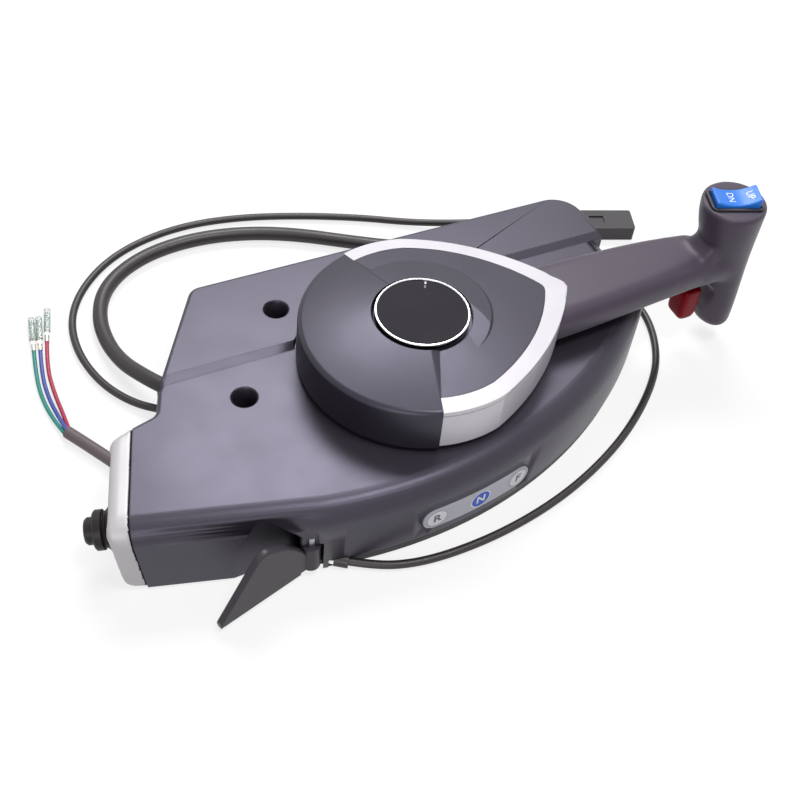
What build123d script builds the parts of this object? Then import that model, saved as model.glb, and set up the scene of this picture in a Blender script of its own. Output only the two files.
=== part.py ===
from build123d import *
import os
from math import acos, atan2, cos, degrees, hypot, pi, radians, sin, sqrt, tan

# Outboard side-mount remote control: a throttle and shift lever on a flat-backed housing.
# Millimetres. Origin: lever shaft axis on the mounting face. +Z up out of the boat's side
# panel, +X along the lever in neutral, +Y the way the lever goes for forward.
os.makedirs("parts", exist_ok=True)

# ---------------------------------------------------------------- driving dimensions
# Housing, plan
END_X = 151.0            # end wall under the lever
FAR_Y = 93.0             # far wall
FRONT_R = 256.3          # long curve of the near wall
FRONT_CX, FRONT_CY = -36.5, 173.0
SHOULDER_X = -88.0       # the long curve ends, the nose begins
FAR_LEFT_X = -98.0       # far wall meets the slanted wall
FOOT_X, FOOT_Y = -138.0, 26.0    # foot of the slanted wall
ROOT_X, ROOT_Y = -143.0, 12.5    # root of the nose's far wall
NOSE_TAPER = 15.0        # each side wall of the nose, degrees
NOSE_X = -205.0          # the untrimmed nose
JOIN_Y = 70.0            # the low form ends here, inside the raised one
# Housing, section
CASE_TOP = 48.0          # near plateau
RISE = 2.5               # far plateau above the near one
RISER_LEFT_Y, RISER_RIGHT_Y = 29.5, 50.0
RISER_BEND_X = 40.0      # the riser's bend hides under the hub
RIM = 7.0                # joint between back case and front case
SKIRT = 1.0              # lower edge of the nose's walls
SKIRT_X, SKIRT_Y = -84.0, 8.0    # the walls come down to the skirt beyond here
WALL = 3.0
BASE = 4.0               # back case plate
NEAR_ROUND = 12.0
CRISP_ROUND = 2.4
REVEAL = 1.2             # back case stands in from the front case
LAP_FIT = 0.15
LAP_HEIGHT = 3.0
LAP_WALL = 2.0
# Nose end
END_TURN = 18.0          # end plane turned in plan
END_RAKE = 6.0           # and leaning out at the top
END_ORIGIN = (-164.0, -23.0, 24.0)
BEZEL_DEPTH = 12.4
BEZEL_ROUND = 6.5        # round of the bezel's outer end and its corners
BEZEL_MARGIN = 1.0       # how far outside the housing's form those rounds start
BEZEL_NECK = 0.8         # shadow gap between front case and bezel
BEZEL_FOOT_Z = 0.4
BEZEL_FRAME = 4.5
PANEL_THICK = 3.0
PANEL_RECESS = 1.2
PANEL_FIT = 0.1
# Mounting and case screws
MOUNT_SPOTS = [(-59.0, 60.0), (-97.0, 7.0), (122.0, 8.0)]
MOUNT_HOLE = 6.6
MOUNT_CBORE = 13.0
MOUNT_SEAT_Z = 30.0
MOUNT_COLUMN = 20.0
POST_SPOTS = [(-150.0, -40.0), (-62.0, -68.0), (66.0, -50.0), (138.0, 40.0), (96.0, 80.0),
              (-66.0, 80.0)]
POST_D = 9.0
SCREW_D = 4.0
SCREW_HEAD_D = 7.6
SCREW_LENGTH = 15.0
# Lever shaft and its bearings
SHAFT_D = 16.0
SHAFT_FOOT_Z = 4.6
SHAFT_HEX = 13.0
SHAFT_SHOULDER_Z = 52.2
SHAFT_TOP_Z = 66.0
BUSH_D = 20.0
BUSH_FIT = 0.04
BUSH_FLANGE_D = 26.0
BUSH_FLANGE = 1.5
LOWER_BUSH_TOP = 11.0
UPPER_BUSH_FOOT = 39.0
# Hub
HUB_R = 66.0
HUB_SEAT_R = HUB_R + 1.0
TRIM_R = HUB_R - 1.0
HUB_GAP = 0.4
TRIM_FOOT_Z = 51.2
HUB_SPLIT = 106.0        # the trim reaches this far round each side, degrees
TIP_X = 91.0             # point of the trim
TRIM_TANGENT = 75.0      # degrees round where the trim's edge joins the circle
TRIM_WAIST_AT, TRIM_WAIST_R, TRIM_WAIST_BAND = 25.0, 73.0, 10.5
TRIM_BAND = 9.0
TRIM_BAND_T = 2.0
TRIM_WALL = 3.0
CORE_R = 52.0
FACE_FOOT_Z = 73.4
ARM_ROUND = 9.0
TRIM_TIP_BAND = 15.0
HUB_SHOULDER_Z = 70.0
HUB_EDGE_Z = 78.0
HUB_EDGE_R = 58.0
HUB_CROWN_Z = 82.6
FACE_DROP = 1.6          # the face lies this much under the cover, at the ring
MOUND_R, MOUND_X, MOUND_Y = 39.5, 0.5, 4.0   # raised crescent round the ring
MOUND_SLOPE = 3.0
MOUND_LEAN = 4.6         # degrees: the crescent dies out on its low side
FACET_W = 5.0            # slanted facet at each split, at the ring
RING_GAP = 1.2
TRIM_LINE_Z, TRIM_LINE_W, TRIM_LINE_T = 73.6, 0.6, 0.5   # groove round the trim's side
HUB_FIT = 0.15
CORE_TOP_Z = 66.0
BADGE_R = 24.0
RING_R = 25.8
RING_TOP_Z = 84.0
BADGE_TOP_Z = 83.2
BADGE_SEAT_Z = 80.4
# Arm and grip
ARM_FOOT_Z, ARM_TOP_Z = 51.6, 73.0
ARM_ROOT_X = 40.0
GRIP_X, GRIP_Y = 195.0, -2.0
GRIP_FOOT_Z = 11.5
GRIP_TOP_Z = 105.0
HEAD_D = 37.5
# Trigger (neutral lock) and rod
TRIGGER_Z0, TRIGGER_Z1 = 21.0, 46.0
TRIGGER_X0, TRIGGER_X1 = 171.5, 188.0
TRIGGER_W = 20.0
TRIGGER_TRAVEL = 6.0
TRIGGER_FIT = 0.4
ROD_D = 4.0
ROD_Z = 62.0
ROD_FOOT_X = 96.0
# Trim rocker on the grip
ROCKER_L, ROCKER_W = 26.0, 14.5
ROCKER_TURN = -20.0
ROCKER_AXIS_Z = 103.0
ROCKER_TIP_Z = 112.0
ROCKER_SWING = 7.0
ROCKER_FIT = 0.4
ROCKER_END_FIT = 0.8      # the ends need more, because they swing
SWITCH_FRAME = 1.6
# Gears
MODULE = 2.5
PINION_TEETH = 16
SECTOR_TEETH = 30
SECTOR_SPAN = 13         # teeth actually cut
BACKLASH = 0.3
SECTOR_ANGLE = 75.0      # direction of the shift stud from the shaft
GEAR_Z0, GEAR_Z1 = 13.6, 20.0
SHIFT_ARM_L = 22.0
# Throttle cam
CAM_Z0, CAM_Z1 = 24.0, 27.5
CAM_RIB = 3.5            # metal left each side of the track
LEVER_MIN, LEVER_MAX = -60.0, 80.0
CAM_RATIO = -0.25
THROTTLE_X, THROTTLE_Y = -52.0, -28.0
FOLLOWER_L = 36.0
FOLLOWER_ANGLE = 0.5
ROLLER_D = 7.0
ROLLER_FIT = 0.35
THROTTLE_ARM_L = 28.0
THROTTLE_ARM_TURN = 150.0
ARM_Z0, ARM_Z1 = 29.0, 32.0
STUD_D = 8.0
# Neutral detent
DETENT_Z0, DETENT_Z1 = 33.5, 37.5
DETENT_R = 20.0
DETENT_ROLLER_D = 7.0
DETENT_ANGLE = -60.0
# Free-throttle lever
PADDLE_S, PADDLE_IN = 5.0, 2.0      # hinge along the nose wall and in from it
PADDLE_ANGLE = 196.5
PADDLE_LENGTH = 57.0
PADDLE_HEIGHT = 43.0
PADDLE_T = 4.0
PADDLE_FOOT_Z = 2.0
BARREL_D = 10.0
BARREL_TOP_Z = 22.0
PIN_D = 5.0
PIN_FIT = 0.05
SCOOP_DEPTH = 12.0
SCOOP_LENGTH = 44.0
SCOOP_MARGIN = 2.5
# Gear plate
PLATE_L, PLATE_H, PLATE_T = 68.0, 14.5, 1.6
PLATE_PROUD = 0.8
PLATE_X, PLATE_Z = 0.0, 20.0
# Switches in the end panel: (across, up) from the end plane's origin
STOP_U, STOP_V = -14.0, 3.5
KEY_U, KEY_V = 9.5, -1.5
STOP_FLANGE_D, STOP_COLLAR_D, STOP_BODY_D = 22.5, 20.5, 16.0
STOP_BUTTON_D = 14.0
STOP_TRAVEL = 3.0
KEY_FLANGE_D, KEY_BODY_D, KEY_BARREL_D = 20.0, 17.0, 12.0
# Cords
HARNESS_D = 9.0
LEAD_D = 4.6
SLEEVE_D = 7.0
WIRE_D = 2.4
CORD_FIT = 0.05
GLAND_WALL = 1.5
PORT_SPOTS = (48.0, 64.0)      # control cable ports along the slanted wall
PORT_Z, PORT_D = 26.0, 11.0
HARNESS_ROUTE = [(-121.0, 50.0, 16.0), (-128.4, 59.5, 15.6), (-135.4, 73.0, 13.0), (-141.8, 90.0, 8.4),
                 (-145.3, 110.0, 5.2), (-144.6, 132.5, 4.6), (-136.5, 154.0, 4.6), (-120.0, 170.0, 4.6),
                 (-95.0, 180.5, 4.6), (-64.0, 182.5, 4.6), (-32.0, 176.0, 4.6), (-3.0, 163.0, 4.6),
                 (24.0, 146.0, 4.6), (52.0, 129.5, 4.6), (84.0, 118.5, 4.6), (118.0, 116.0, 4.6),
                 (148.0, 118.0, 5.0), (174.0, 108.5, 5.0)]
LEAD_ROUTE = [(-122.8, 46.0, 4.6), (-132.2, 51.7, 4.2), (-146.0, 65.0, 3.0), (-157.5, 86.0, 2.4),
              (-163.0, 113.0, 2.4), (-160.2, 140.0, 2.4), (-148.0, 163.0, 2.4), (-127.0, 183.0, 2.4),
              (-101.0, 195.0, 2.4), (-69.0, 200.0, 2.4), (-33.0, 195.5, 2.4), (5.0, 183.5, 2.4),
              (42.0, 168.0, 2.4), (72.0, 151.5, 2.6), (98.0, 137.0, 6.0), (122.0, 122.5, 12.0),
              (142.0, 106.0, 12.5), (157.0, 86.0, 8.0), (168.0, 62.5, 3.6), (175.5, 38.0, 2.5),
              (175.0, 13.0, 2.4), (162.5, -15.0, 2.4), (144.0, -36.0, 2.4), (115.0, -58.0, 2.4),
              (84.0, -74.5, 2.4), (50.0, -87.0, 2.4), (14.0, -94.5, 2.4), (-20.0, -96.5, 2.4),
              (-45.0, -94.0, 2.4), (-64.0, -87.0, 2.8), (-80.0, -76.8, 3.6)]
SLEEVE_ROUTE = [(-155.6, 4.6, 5.6), (-163.5, 20.0, 4.6), (-173.3, 37.8, 3.9), (-183.6, 55.0, 3.7)]
WIRE_ROUTES = {
    "wire_teal": [(-184.85, 54.3, 3.0), (-188.2, 67.0, 1.7), (-190.4, 86.0, 1.3), (-189.2, 105.0, 1.5),
                  (-186.0, 122.8, 2.3)],
    "wire_blue": [(-183.6, 55.0, 5.3), (-185.3, 68.0, 2.4), (-186.9, 86.0, 1.3), (-185.9, 105.0, 1.5),
                  (-182.4, 122.0, 2.3)],
    "wire_red": [(-182.3, 55.7, 3.0), (-182.3, 69.0, 1.7), (-183.0, 88.0, 1.3), (-181.9, 109.0, 1.5),
                 (-177.2, 127.4, 2.3)]}
TERMINAL_L, TERMINAL_W, TERMINAL_T = 20.0, 2.8, 1.2
BOOT_START, BOOT_L, BOOT_D = 9.0, 17.0, 3.9
PLUG_L, PLUG_W, PLUG_H = 41.0, 19.0, 10.0

# ---------------------------------------------------------------- small helpers
PARTS = {}


def disc(diameter, bottom, top, x=0.0, y=0.0):
    """Upright cylinder between two heights."""
    return Pos(x, y, (bottom + top) / 2) * Cylinder(diameter / 2, top - bottom)


def block(x0, x1, y0, y1, z0, z1):
    """Box between six planes."""
    return Pos((x0 + x1) / 2, (y0 + y1) / 2, (z0 + z1) / 2) * Box(x1 - x0, y1 - y0, z1 - z0)


def near(items, x, y):
    """The vertex or edge that stands nearest to a place in plan."""
    return min(items, key=lambda item: hypot(item.center().X - x, item.center().Y - y))


def solid_of(shape):
    """The largest solid of a result, so that a sliver never travels with a piece."""
    return max(shape.solids(), key=lambda s: s.volume)


def keep(name, *solids):
    """Write one named piece, or a group of identical ones."""
    shape = solids[0] if len(solids) == 1 else Compound(children=list(solids))
    PARTS[name] = shape
    export_step(shape, f"parts/{name}.step")


def turned(angle, x=0.0, y=0.0):
    """Turn about an upright axis through (x, y)."""
    return Pos(x, y, 0) * Rot(0, 0, angle) * Pos(-x, -y, 0)


# ---------------------------------------------------------------- housing form
FAR_TIP_Y = ROOT_Y - (ROOT_X - NOSE_X) * tan(radians(NOSE_TAPER))


def front_y(x):
    """Y of the near wall's long curve."""
    return FRONT_CY - sqrt(FRONT_R ** 2 - (x - FRONT_CX) ** 2)


SHOULDER = (SHOULDER_X, front_y(SHOULDER_X))
NEAR_TIP = (NOSE_X, SHOULDER[1] + (SHOULDER_X - NOSE_X) * tan(radians(NOSE_TAPER)))
END_LOW = (END_X, front_y(END_X))
FAR_TIP = (NOSE_X, FAR_TIP_Y)


def slant_x(y):
    """X of the slanted wall."""
    return FOOT_X + (y - FOOT_Y) * (FAR_LEFT_X - FOOT_X) / (FAR_Y - FOOT_Y)


def near_curve(x0, x1):
    mid = (x0 + x1) / 2
    return ThreePointArc((x0, front_y(x0)), (mid, front_y(mid)), (x1, front_y(x1)))


def low_plan():
    """Plan of the near plateau and nose."""
    edge = (Polyline(NEAR_TIP, SHOULDER) + near_curve(SHOULDER_X, END_X)
            + Polyline(END_LOW, (END_X, JOIN_Y), (slant_x(JOIN_Y), JOIN_Y), (FOOT_X, FOOT_Y),
                       (ROOT_X, ROOT_Y), FAR_TIP, NEAR_TIP))
    face = make_face(edge)
    for (x, y), radius in ((SHOULDER, 100), (END_LOW, 20), ((FOOT_X, FOOT_Y), 8), ((ROOT_X, ROOT_Y), 6)):
        face = fillet(near(face.vertices(), x, y), radius)
    return face


RISER_LINE = [(slant_x(RISER_LEFT_Y), RISER_LEFT_Y), (0, RISER_LEFT_Y), (RISER_BEND_X, RISER_RIGHT_Y),
              (END_X, RISER_RIGHT_Y)]


def raised_plan():
    """Plan of the far plateau."""
    face = make_face(Polyline(RISER_LINE + [(END_X, FAR_Y), (FAR_LEFT_X, FAR_Y), RISER_LINE[0]]))
    for x, radius in ((END_X, 18), (FAR_LEFT_X, 9)):
        face = fillet(near(face.vertices(), x, FAR_Y), radius)
    return face


def bevel(start, end, top, size, inset):
    """What a 45 degree riser takes off the far plateau's near edge."""
    run = Vector(*end) - Vector(*start)
    across = Vector(-run.Y, run.X).normalized()
    foot = Vector(*start, top) + across * inset - run.normalized() * size
    slope = make_face(Polyline((0, -size), (2 * size, size), (0, size), (0, -size)))
    return extrude(Plane(origin=foot, x_dir=across, z_dir=run) * slope, run.length + 2 * size)


def housing(inset, bottom):
    """The outer form of the housing, or the same form standing in by a wall."""
    top = CASE_TOP - inset
    low, raised = low_plan(), raised_plan()
    if inset:
        low = offset(low, -inset, kind=Kind.INTERSECTION)
        raised = offset(raised, -inset, kind=Kind.INTERSECTION)
    low = extrude(Pos(0, 0, bottom) * low, top - bottom)

    def rim(solid, height):
        return [e for e in solid.edges() if abs(e.center().Z - height) < 0.01
                and e.center().X > NOSE_X + inset + 1]

    far_side = [e for e in rim(low, top) if 0 < e.center().Y < JOIN_Y - inset - 1 and e.center().X < 0]
    low = fillet(far_side, max(CRISP_ROUND - inset, 0.4))
    near_side = [e for e in rim(low, top) if e.center().Y < 0 or e.center().X > END_X - inset - 1]
    low = fillet(near_side, NEAR_ROUND - inset)
    rise_top = top + RISE
    raised = extrude(Pos(0, 0, bottom) * raised, rise_top - bottom)
    far_side = [e for e in rim(raised, rise_top) if e.center().Y > RISER_RIGHT_Y + inset + 1
                or e.center().X < slant_x(RISER_LEFT_Y) / 2 and e.center().Y > RISER_LEFT_Y + inset + 1]
    raised = fillet(far_side, max(CRISP_ROUND - inset, 0.4))
    for start, end in zip(RISER_LINE, RISER_LINE[1:]):
        raised -= bevel(start, end, rise_top, RISE, inset)
    return low + raised



# ---------------------------------------------------------------- end plane of the nose
END_NORMAL = Vector(-cos(radians(END_RAKE)) * cos(radians(END_TURN)),
                    cos(radians(END_RAKE)) * sin(radians(END_TURN)), -sin(radians(END_RAKE)))
END_ACROSS = Vector(sin(radians(END_TURN)), cos(radians(END_TURN)), 0)
END_PLANE = Plane(origin=END_ORIGIN, x_dir=-END_ACROSS, z_dir=END_NORMAL)
FAR_OUT = 120.0


def beyond(depth, thickness):
    """A thick slab that starts a depth outside the end plane."""
    return END_PLANE.offset(depth) * Pos(0, 0, thickness / 2) * Box(2 * FAR_OUT, 2 * FAR_OUT, thickness)


def end_disc(diameter, u, v, start, end):
    """Cylinder square to the end plane, between two depths."""
    return END_PLANE.offset(start) * Pos(-u, v, (end - start) / 2) * Cylinder(diameter / 2, end - start)


# ---------------------------------------------------------------- nose wall places
WALL_RUN = Vector(-cos(radians(NOSE_TAPER)), sin(radians(NOSE_TAPER)), 0)
WALL_IN = Vector(sin(radians(NOSE_TAPER)), cos(radians(NOSE_TAPER)), 0)
HINGE = Vector(*SHOULDER) + WALL_RUN * PADDLE_S + WALL_IN * PADDLE_IN
WALL_PLANE = Plane(origin=(*SHOULDER, 0), x_dir=WALL_RUN, z_dir=-WALL_IN)


def blade_outline(margin=0.0):
    """Side view of the paddle: a bowed edge rising to a blunt top, a long edge to a small tip."""
    foot, top_s = PADDLE_FOOT_Z - margin, PADDLE_LENGTH * 0.55
    edge = ThreePointArc((0, foot), (PADDLE_LENGTH * 0.2, PADDLE_HEIGHT * 0.68 + margin),
                         (top_s, PADDLE_HEIGHT + margin))
    edge += Polyline((top_s, PADDLE_HEIGHT + margin), (PADDLE_LENGTH + margin, foot + 4),
                     (PADDLE_LENGTH + margin, foot), (0, foot))
    face = make_face(edge)
    face = fillet(near(face.vertices(), top_s, PADDLE_HEIGHT + margin), 6)
    return face


def upright(face, origin, run):
    """Stand a side view up on a vertical plane that runs along a direction."""
    run = run.normalized()
    plane = Plane(origin=origin, x_dir=run, z_dir=Vector(run.Y, -run.X, 0))
    return plane * face


def scoop(margin):
    """Finger scoop in the nose wall: the blade's shape, deep at the hinge, running out flush."""
    side = upright(Pos(2 - SCOOP_MARGIN, 0) * blade_outline(SCOOP_MARGIN + margin), (*SHOULDER, 0), WALL_RUN)
    deep = SCOOP_DEPTH + margin
    wedge = make_face(Polyline((-6 - margin, -20), (-6 - margin, deep), (4, deep), (SCOOP_LENGTH + margin, 0),
                               (SCOOP_LENGTH + margin, -20), (-6 - margin, -20)))
    wedge = Plane(origin=(*SHOULDER, -10), x_dir=WALL_RUN, z_dir=(0, 0, -1)) * wedge
    pocket = extrude(side, 40, both=True) & extrude(wedge, -80)
    return solid_of(pocket) + disc(BARREL_D + 3 + 2 * margin, -2, BARREL_TOP_Z + 1.5 + margin, HINGE.X, HINGE.Y)


# ---------------------------------------------------------------- front case
def columns(extra=0.0):
    """Solid columns for the mounting bolts and posts for the case screws."""
    for x, y in MOUNT_SPOTS:
        yield disc(MOUNT_COLUMN + extra, RIM, CASE_TOP + RISE, x, y)
    for x, y in POST_SPOTS:
        yield disc(POST_D + extra, RIM, CASE_TOP + RISE, x, y)


outer = housing(0, SKIRT)
cavity = housing(WALL, SKIRT - 1)
nose_cut = beyond(0, FAR_OUT)
tube = cavity - scoop(WALL) - disc(2 * (HUB_SEAT_R + WALL), CASE_TOP - WALL, CASE_TOP + RISE)
for column in columns():
    tube -= column
tube -= disc(BUSH_D + 2 * WALL, UPPER_BUSH_FOOT, CASE_TOP)
front = outer - tube - nose_cut
front -= block(SKIRT_X, END_X + 5, -FAR_OUT, FAR_OUT, 0, RIM)
front -= block(NOSE_X, SKIRT_X, SKIRT_Y, FAR_OUT, 0, RIM)
front -= extrude(offset(low_plan() + raised_plan(), -WALL, kind=Kind.INTERSECTION), RIM)
front -= scoop(0)
front -= disc(2 * HUB_SEAT_R, CASE_TOP, CASE_TOP + 2 * RISE)
front -= disc(BUSH_D, 0, CASE_TOP + 1)
for x, y in MOUNT_SPOTS:
    front -= disc(MOUNT_HOLE, 0, CASE_TOP, x, y) + disc(MOUNT_CBORE, MOUNT_SEAT_Z, CASE_TOP + 2 * RISE, x, y)
for x, y in POST_SPOTS:
    front -= disc(SCREW_D - 0.6, 0, RIM + SCREW_LENGTH, x, y)


def wall_plane_at(x):
    """Plane on the near wall's long curve at X, facing out, X axis along the wall, Y axis up."""
    out = Vector(x - FRONT_CX, front_y(x) - FRONT_CY, 0).normalized()
    return Plane(origin=(x, front_y(x), PLATE_Z), x_dir=(-out.Y, out.X, 0), z_dir=out)


def wall_shell(inner, outer_off):
    """The near wall's curve as a shell from inside to outside of its face."""
    ring = disc(2 * (FRONT_R + outer_off), 0, CASE_TOP, FRONT_CX, FRONT_CY)
    return ring - disc(2 * (FRONT_R - inner), -1, CASE_TOP + 1, FRONT_CX, FRONT_CY)


def plate(margin, proud):
    stadium = wall_plane_at(PLATE_X) * SlotOverall(PLATE_L + 2 * margin, PLATE_H + 2 * margin)
    return extrude(stadium, 12, both=True) & wall_shell(PLATE_T - PLATE_PROUD + (0.05 if margin else 0), proud)


gear_plate = plate(0, PLATE_PROUD)
front -= plate(HUB_FIT, 2)


def from_wall(s_along, height):
    """A place on the slanted wall, measured along it from its foot."""
    return Vector(FOOT_X, FOOT_Y, height) + SLANT_RUN * s_along


def along(origin, run, diameter, start, end):
    """Cylinder along a direction from a place."""
    plane = Plane(origin=origin + run.normalized() * start, z_dir=run.normalized())
    return plane * Pos(0, 0, (end - start) / 2) * Cylinder(diameter / 2, end - start)


SLANT_RUN = Vector(FAR_LEFT_X - FOOT_X, FAR_Y - FOOT_Y, 0).normalized()
SLANT_OUT = Vector(-SLANT_RUN.Y, SLANT_RUN.X, 0)
HARNESS_START, LEAD_START, SLEEVE_START = (Vector(*r[0]) for r in (HARNESS_ROUTE, LEAD_ROUTE, SLEEVE_ROUTE))
HARNESS_OUT, LEAD_OUT, SLEEVE_OUT = (Vector(*r[1]) - Vector(*r[0]) for r in (HARNESS_ROUTE, LEAD_ROUTE, SLEEVE_ROUTE))
LEAD_END, LEAD_BACK = Vector(*LEAD_ROUTE[-1]), Vector(*LEAD_ROUTE[-2]) - Vector(*LEAD_ROUTE[-1])
GLAND_HOLES = [along(HARNESS_START, HARNESS_OUT, HARNESS_D + 2 * GLAND_WALL, -6, 8),
               along(LEAD_START, LEAD_OUT, LEAD_D + 2 * GLAND_WALL, -6, 8),
               along(LEAD_END, LEAD_BACK, LEAD_D + 2 * GLAND_WALL, -6, 10),
               along(SLEEVE_START, SLEEVE_OUT, SLEEVE_D + 2 * GLAND_WALL, -8, 14)]
PORT_HOLES = [along(from_wall(s, PORT_Z), SLANT_OUT, PORT_D, -6, 4) for s in PORT_SPOTS]
for hole in GLAND_HOLES + PORT_HOLES:
    front -= hole
HINGE_PIN = disc(PIN_D, BASE, BARREL_TOP_Z + 7, HINGE.X, HINGE.Y)
front += disc(PIN_D + 6, BARREL_TOP_Z + 1.5, BARREL_TOP_Z + 8, HINGE.X, HINGE.Y) & outer
front -= HINGE_PIN
keep("front_case", solid_of(front))
keep("free_throttle_pin", solid_of(disc(PIN_D, BASE, BARREL_TOP_Z + 6.8, HINGE.X, HINGE.Y)))
keep("gear_plate", solid_of(gear_plate))

# ---------------------------------------------------------------- back case
base_plan = offset(low_plan() + raised_plan(), -REVEAL, kind=Kind.INTERSECTION)
nose_plan = offset(low_plan() + raised_plan(), -(WALL + 0.3), kind=Kind.INTERSECTION)
lap_plan = offset(low_plan() + raised_plan(), -(WALL + LAP_FIT), kind=Kind.INTERSECTION)
skirted = block(NOSE_X - 5, SKIRT_X + 0.3, -FAR_OUT, SKIRT_Y + 0.3, -1, RIM + 1)
back = extrude(base_plan, RIM - 0.1) - skirted + (extrude(nose_plan, RIM - 0.1) & skirted)
lap = extrude(Pos(0, 0, 1) * lap_plan, RIM + LAP_HEIGHT - 1)
back = (back + lap) - nose_cut
back -= extrude(Pos(0, 0, BASE) * offset(lap_plan, -LAP_WALL, kind=Kind.INTERSECTION), RIM + LAP_HEIGHT)
for x, y in MOUNT_SPOTS:
    back += disc(MOUNT_COLUMN, BASE - 1, RIM - 0.1, x, y)
    back -= disc(MOUNT_HOLE, -1, RIM + 1, x, y)
back += disc(BUSH_FLANGE_D + 6, BASE - 1, LOWER_BUSH_TOP - BUSH_FLANGE)
back -= disc(BUSH_D, BASE, LOWER_BUSH_TOP)
for x, y in POST_SPOTS:
    back += disc(POST_D, BASE - 1, RIM - 0.1, x, y)
    back -= disc(SCREW_D + 0.4, -1, RIM + 1, x, y) + disc(SCREW_HEAD_D + 0.6, -1, 2.6, x, y)
back -= scoop(0) - block(NOSE_X, 0, -FAR_OUT, 0, -FAR_OUT, BASE)
back -= scoop(WALL + LAP_FIT) - block(NOSE_X, 0, -FAR_OUT, 0, -FAR_OUT, RIM - 0.1)
back -= disc(PIN_D, BASE, RIM + 9, HINGE.X, HINGE.Y)
for hole in GLAND_HOLES:
    back -= hole
keep("back_case", solid_of(back))


def case_screw(x, y):
    """Pan-head tapping screw, driven from behind."""
    head = disc(SCREW_HEAD_D, 0.2, 2.6, x, y) - Pos(x, y, 0.2) * Box(5, 1, 1.6) - Pos(x, y, 0.2) * Box(1, 5, 1.6)
    return head + disc(SCREW_D - 0.6, 2.6, SCREW_LENGTH, x, y)


keep("case_screws", *[solid_of(case_screw(x, y)) for x, y in POST_SPOTS])

# ---------------------------------------------------------------- nose end: bezel and panel
def end_corner(start, run, height):
    """Where an upright wall through a point, along a direction, meets the end plane at a height."""
    foot = Vector(*start, height)
    return foot + run * ((END_PLANE.origin - foot).dot(END_NORMAL) / run.dot(END_NORMAL))


def end_block():
    """Block over the nose's end, with its corners and its outer end well rounded."""
    far_run = Vector(-cos(radians(NOSE_TAPER)), -sin(radians(NOSE_TAPER)), 0)
    corners = [end_corner(SHOULDER, WALL_RUN, BEZEL_FOOT_Z), end_corner((ROOT_X, ROOT_Y), far_run, BEZEL_FOOT_Z),
               end_corner((ROOT_X, ROOT_Y), far_run, CASE_TOP), end_corner(SHOULDER, WALL_RUN, CASE_TOP)]
    outline = offset(make_face(Polyline(corners + corners[:1])), BEZEL_MARGIN, kind=Kind.INTERSECTION)
    solid = extrude(outline, BEZEL_DEPTH, dir=END_NORMAL)
    solid = fillet([e for e in solid.edges() if abs(e.length - BEZEL_DEPTH) < 0.01], BEZEL_ROUND + BEZEL_MARGIN)
    outer_end = [e for e in solid.edges() if abs(END_PLANE.to_local_coords(e.center()).Z - BEZEL_DEPTH) < 0.01]
    return fillet(outer_end, BEZEL_ROUND)


bezel = housing(0, BEZEL_FOOT_Z) & beyond(BEZEL_NECK, BEZEL_DEPTH - BEZEL_NECK) & end_block()
bezel += housing(BEZEL_NECK, BEZEL_FOOT_Z + BEZEL_NECK) & beyond(0, 2 * BEZEL_NECK)
hollow = housing(BEZEL_FRAME, BEZEL_FOOT_Z + BEZEL_FRAME) & beyond(-1, BEZEL_DEPTH + 2)
bezel -= solid_of(hollow)
bezel -= GLAND_HOLES[-1]
keep("end_bezel", solid_of(bezel))
panel = housing(BEZEL_FRAME + PANEL_FIT, BEZEL_FOOT_Z + BEZEL_FRAME + PANEL_FIT) & \
    beyond(BEZEL_DEPTH - PANEL_RECESS - PANEL_THICK, PANEL_THICK)
panel -= end_disc(STOP_BODY_D + 0.2, STOP_U, STOP_V, 0, BEZEL_DEPTH + 2)
panel -= end_disc(KEY_BODY_D + 0.2, KEY_U, KEY_V, 0, BEZEL_DEPTH + 2)
keep("switch_panel", solid_of(panel))
PANEL_FACE = BEZEL_DEPTH - PANEL_RECESS


def end_turned(profile, u, v):
    """Turned piece square to the end plane: (radius, depth) points closed on its axis."""
    centre = END_PLANE.offset(PANEL_FACE).from_local_coords(Vector(-u, v, 0))
    plane = Plane(origin=centre, x_dir=END_PLANE.x_dir, z_dir=-END_PLANE.y_dir)
    face = plane * make_face(Polyline(profile + [profile[0]]))
    return revolve(face, Axis(plane.origin, END_NORMAL), 360)


stop_body = end_turned([(0, -18), (STOP_BODY_D / 2, -18), (STOP_BODY_D / 2, 0), (STOP_FLANGE_D / 2, 0),
                        (STOP_FLANGE_D / 2, 2.2), (STOP_FLANGE_D / 2 - 1.4, 3.4), (STOP_FLANGE_D / 2 - 2.2, 5),
                        (STOP_COLLAR_D / 2, 5.6), (STOP_COLLAR_D / 2, 9.2), (STOP_COLLAR_D / 2 - 0.8, 10),
                        (STOP_BUTTON_D / 2 + 0.3, 10), (STOP_BUTTON_D / 2 + 0.3, 2), (0, 2)], STOP_U, STOP_V)
keep("stop_switch", solid_of(stop_body))
keep("stop_button", solid_of(end_turned([(0, 2 + STOP_TRAVEL + 0.4), (STOP_BUTTON_D / 2, 2 + STOP_TRAVEL + 0.4),
                                         (STOP_BUTTON_D / 2, 13.4), (STOP_BUTTON_D / 2 - 1, 14.6), (0, 14.6)],
                                        STOP_U, STOP_V)))
key_body = end_turned([(0, -22.5), (KEY_BODY_D / 2, -22.5), (KEY_BODY_D / 2, 0), (KEY_FLANGE_D / 2, 0),
                       (KEY_FLANGE_D / 2, 1.4), (KEY_FLANGE_D / 2 - 1, 2.4), (KEY_BARREL_D / 2 + 0.1, 2.4),
                       (KEY_BARREL_D / 2 + 0.1, -20), (0, -20)], KEY_U, KEY_V)
keep("ignition_switch", solid_of(key_body))
key_barrel = end_turned([(0, -19.6), (KEY_BARREL_D / 2, -19.6), (KEY_BARREL_D / 2, 3.4), (0, 3.4)], KEY_U, KEY_V)
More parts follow.
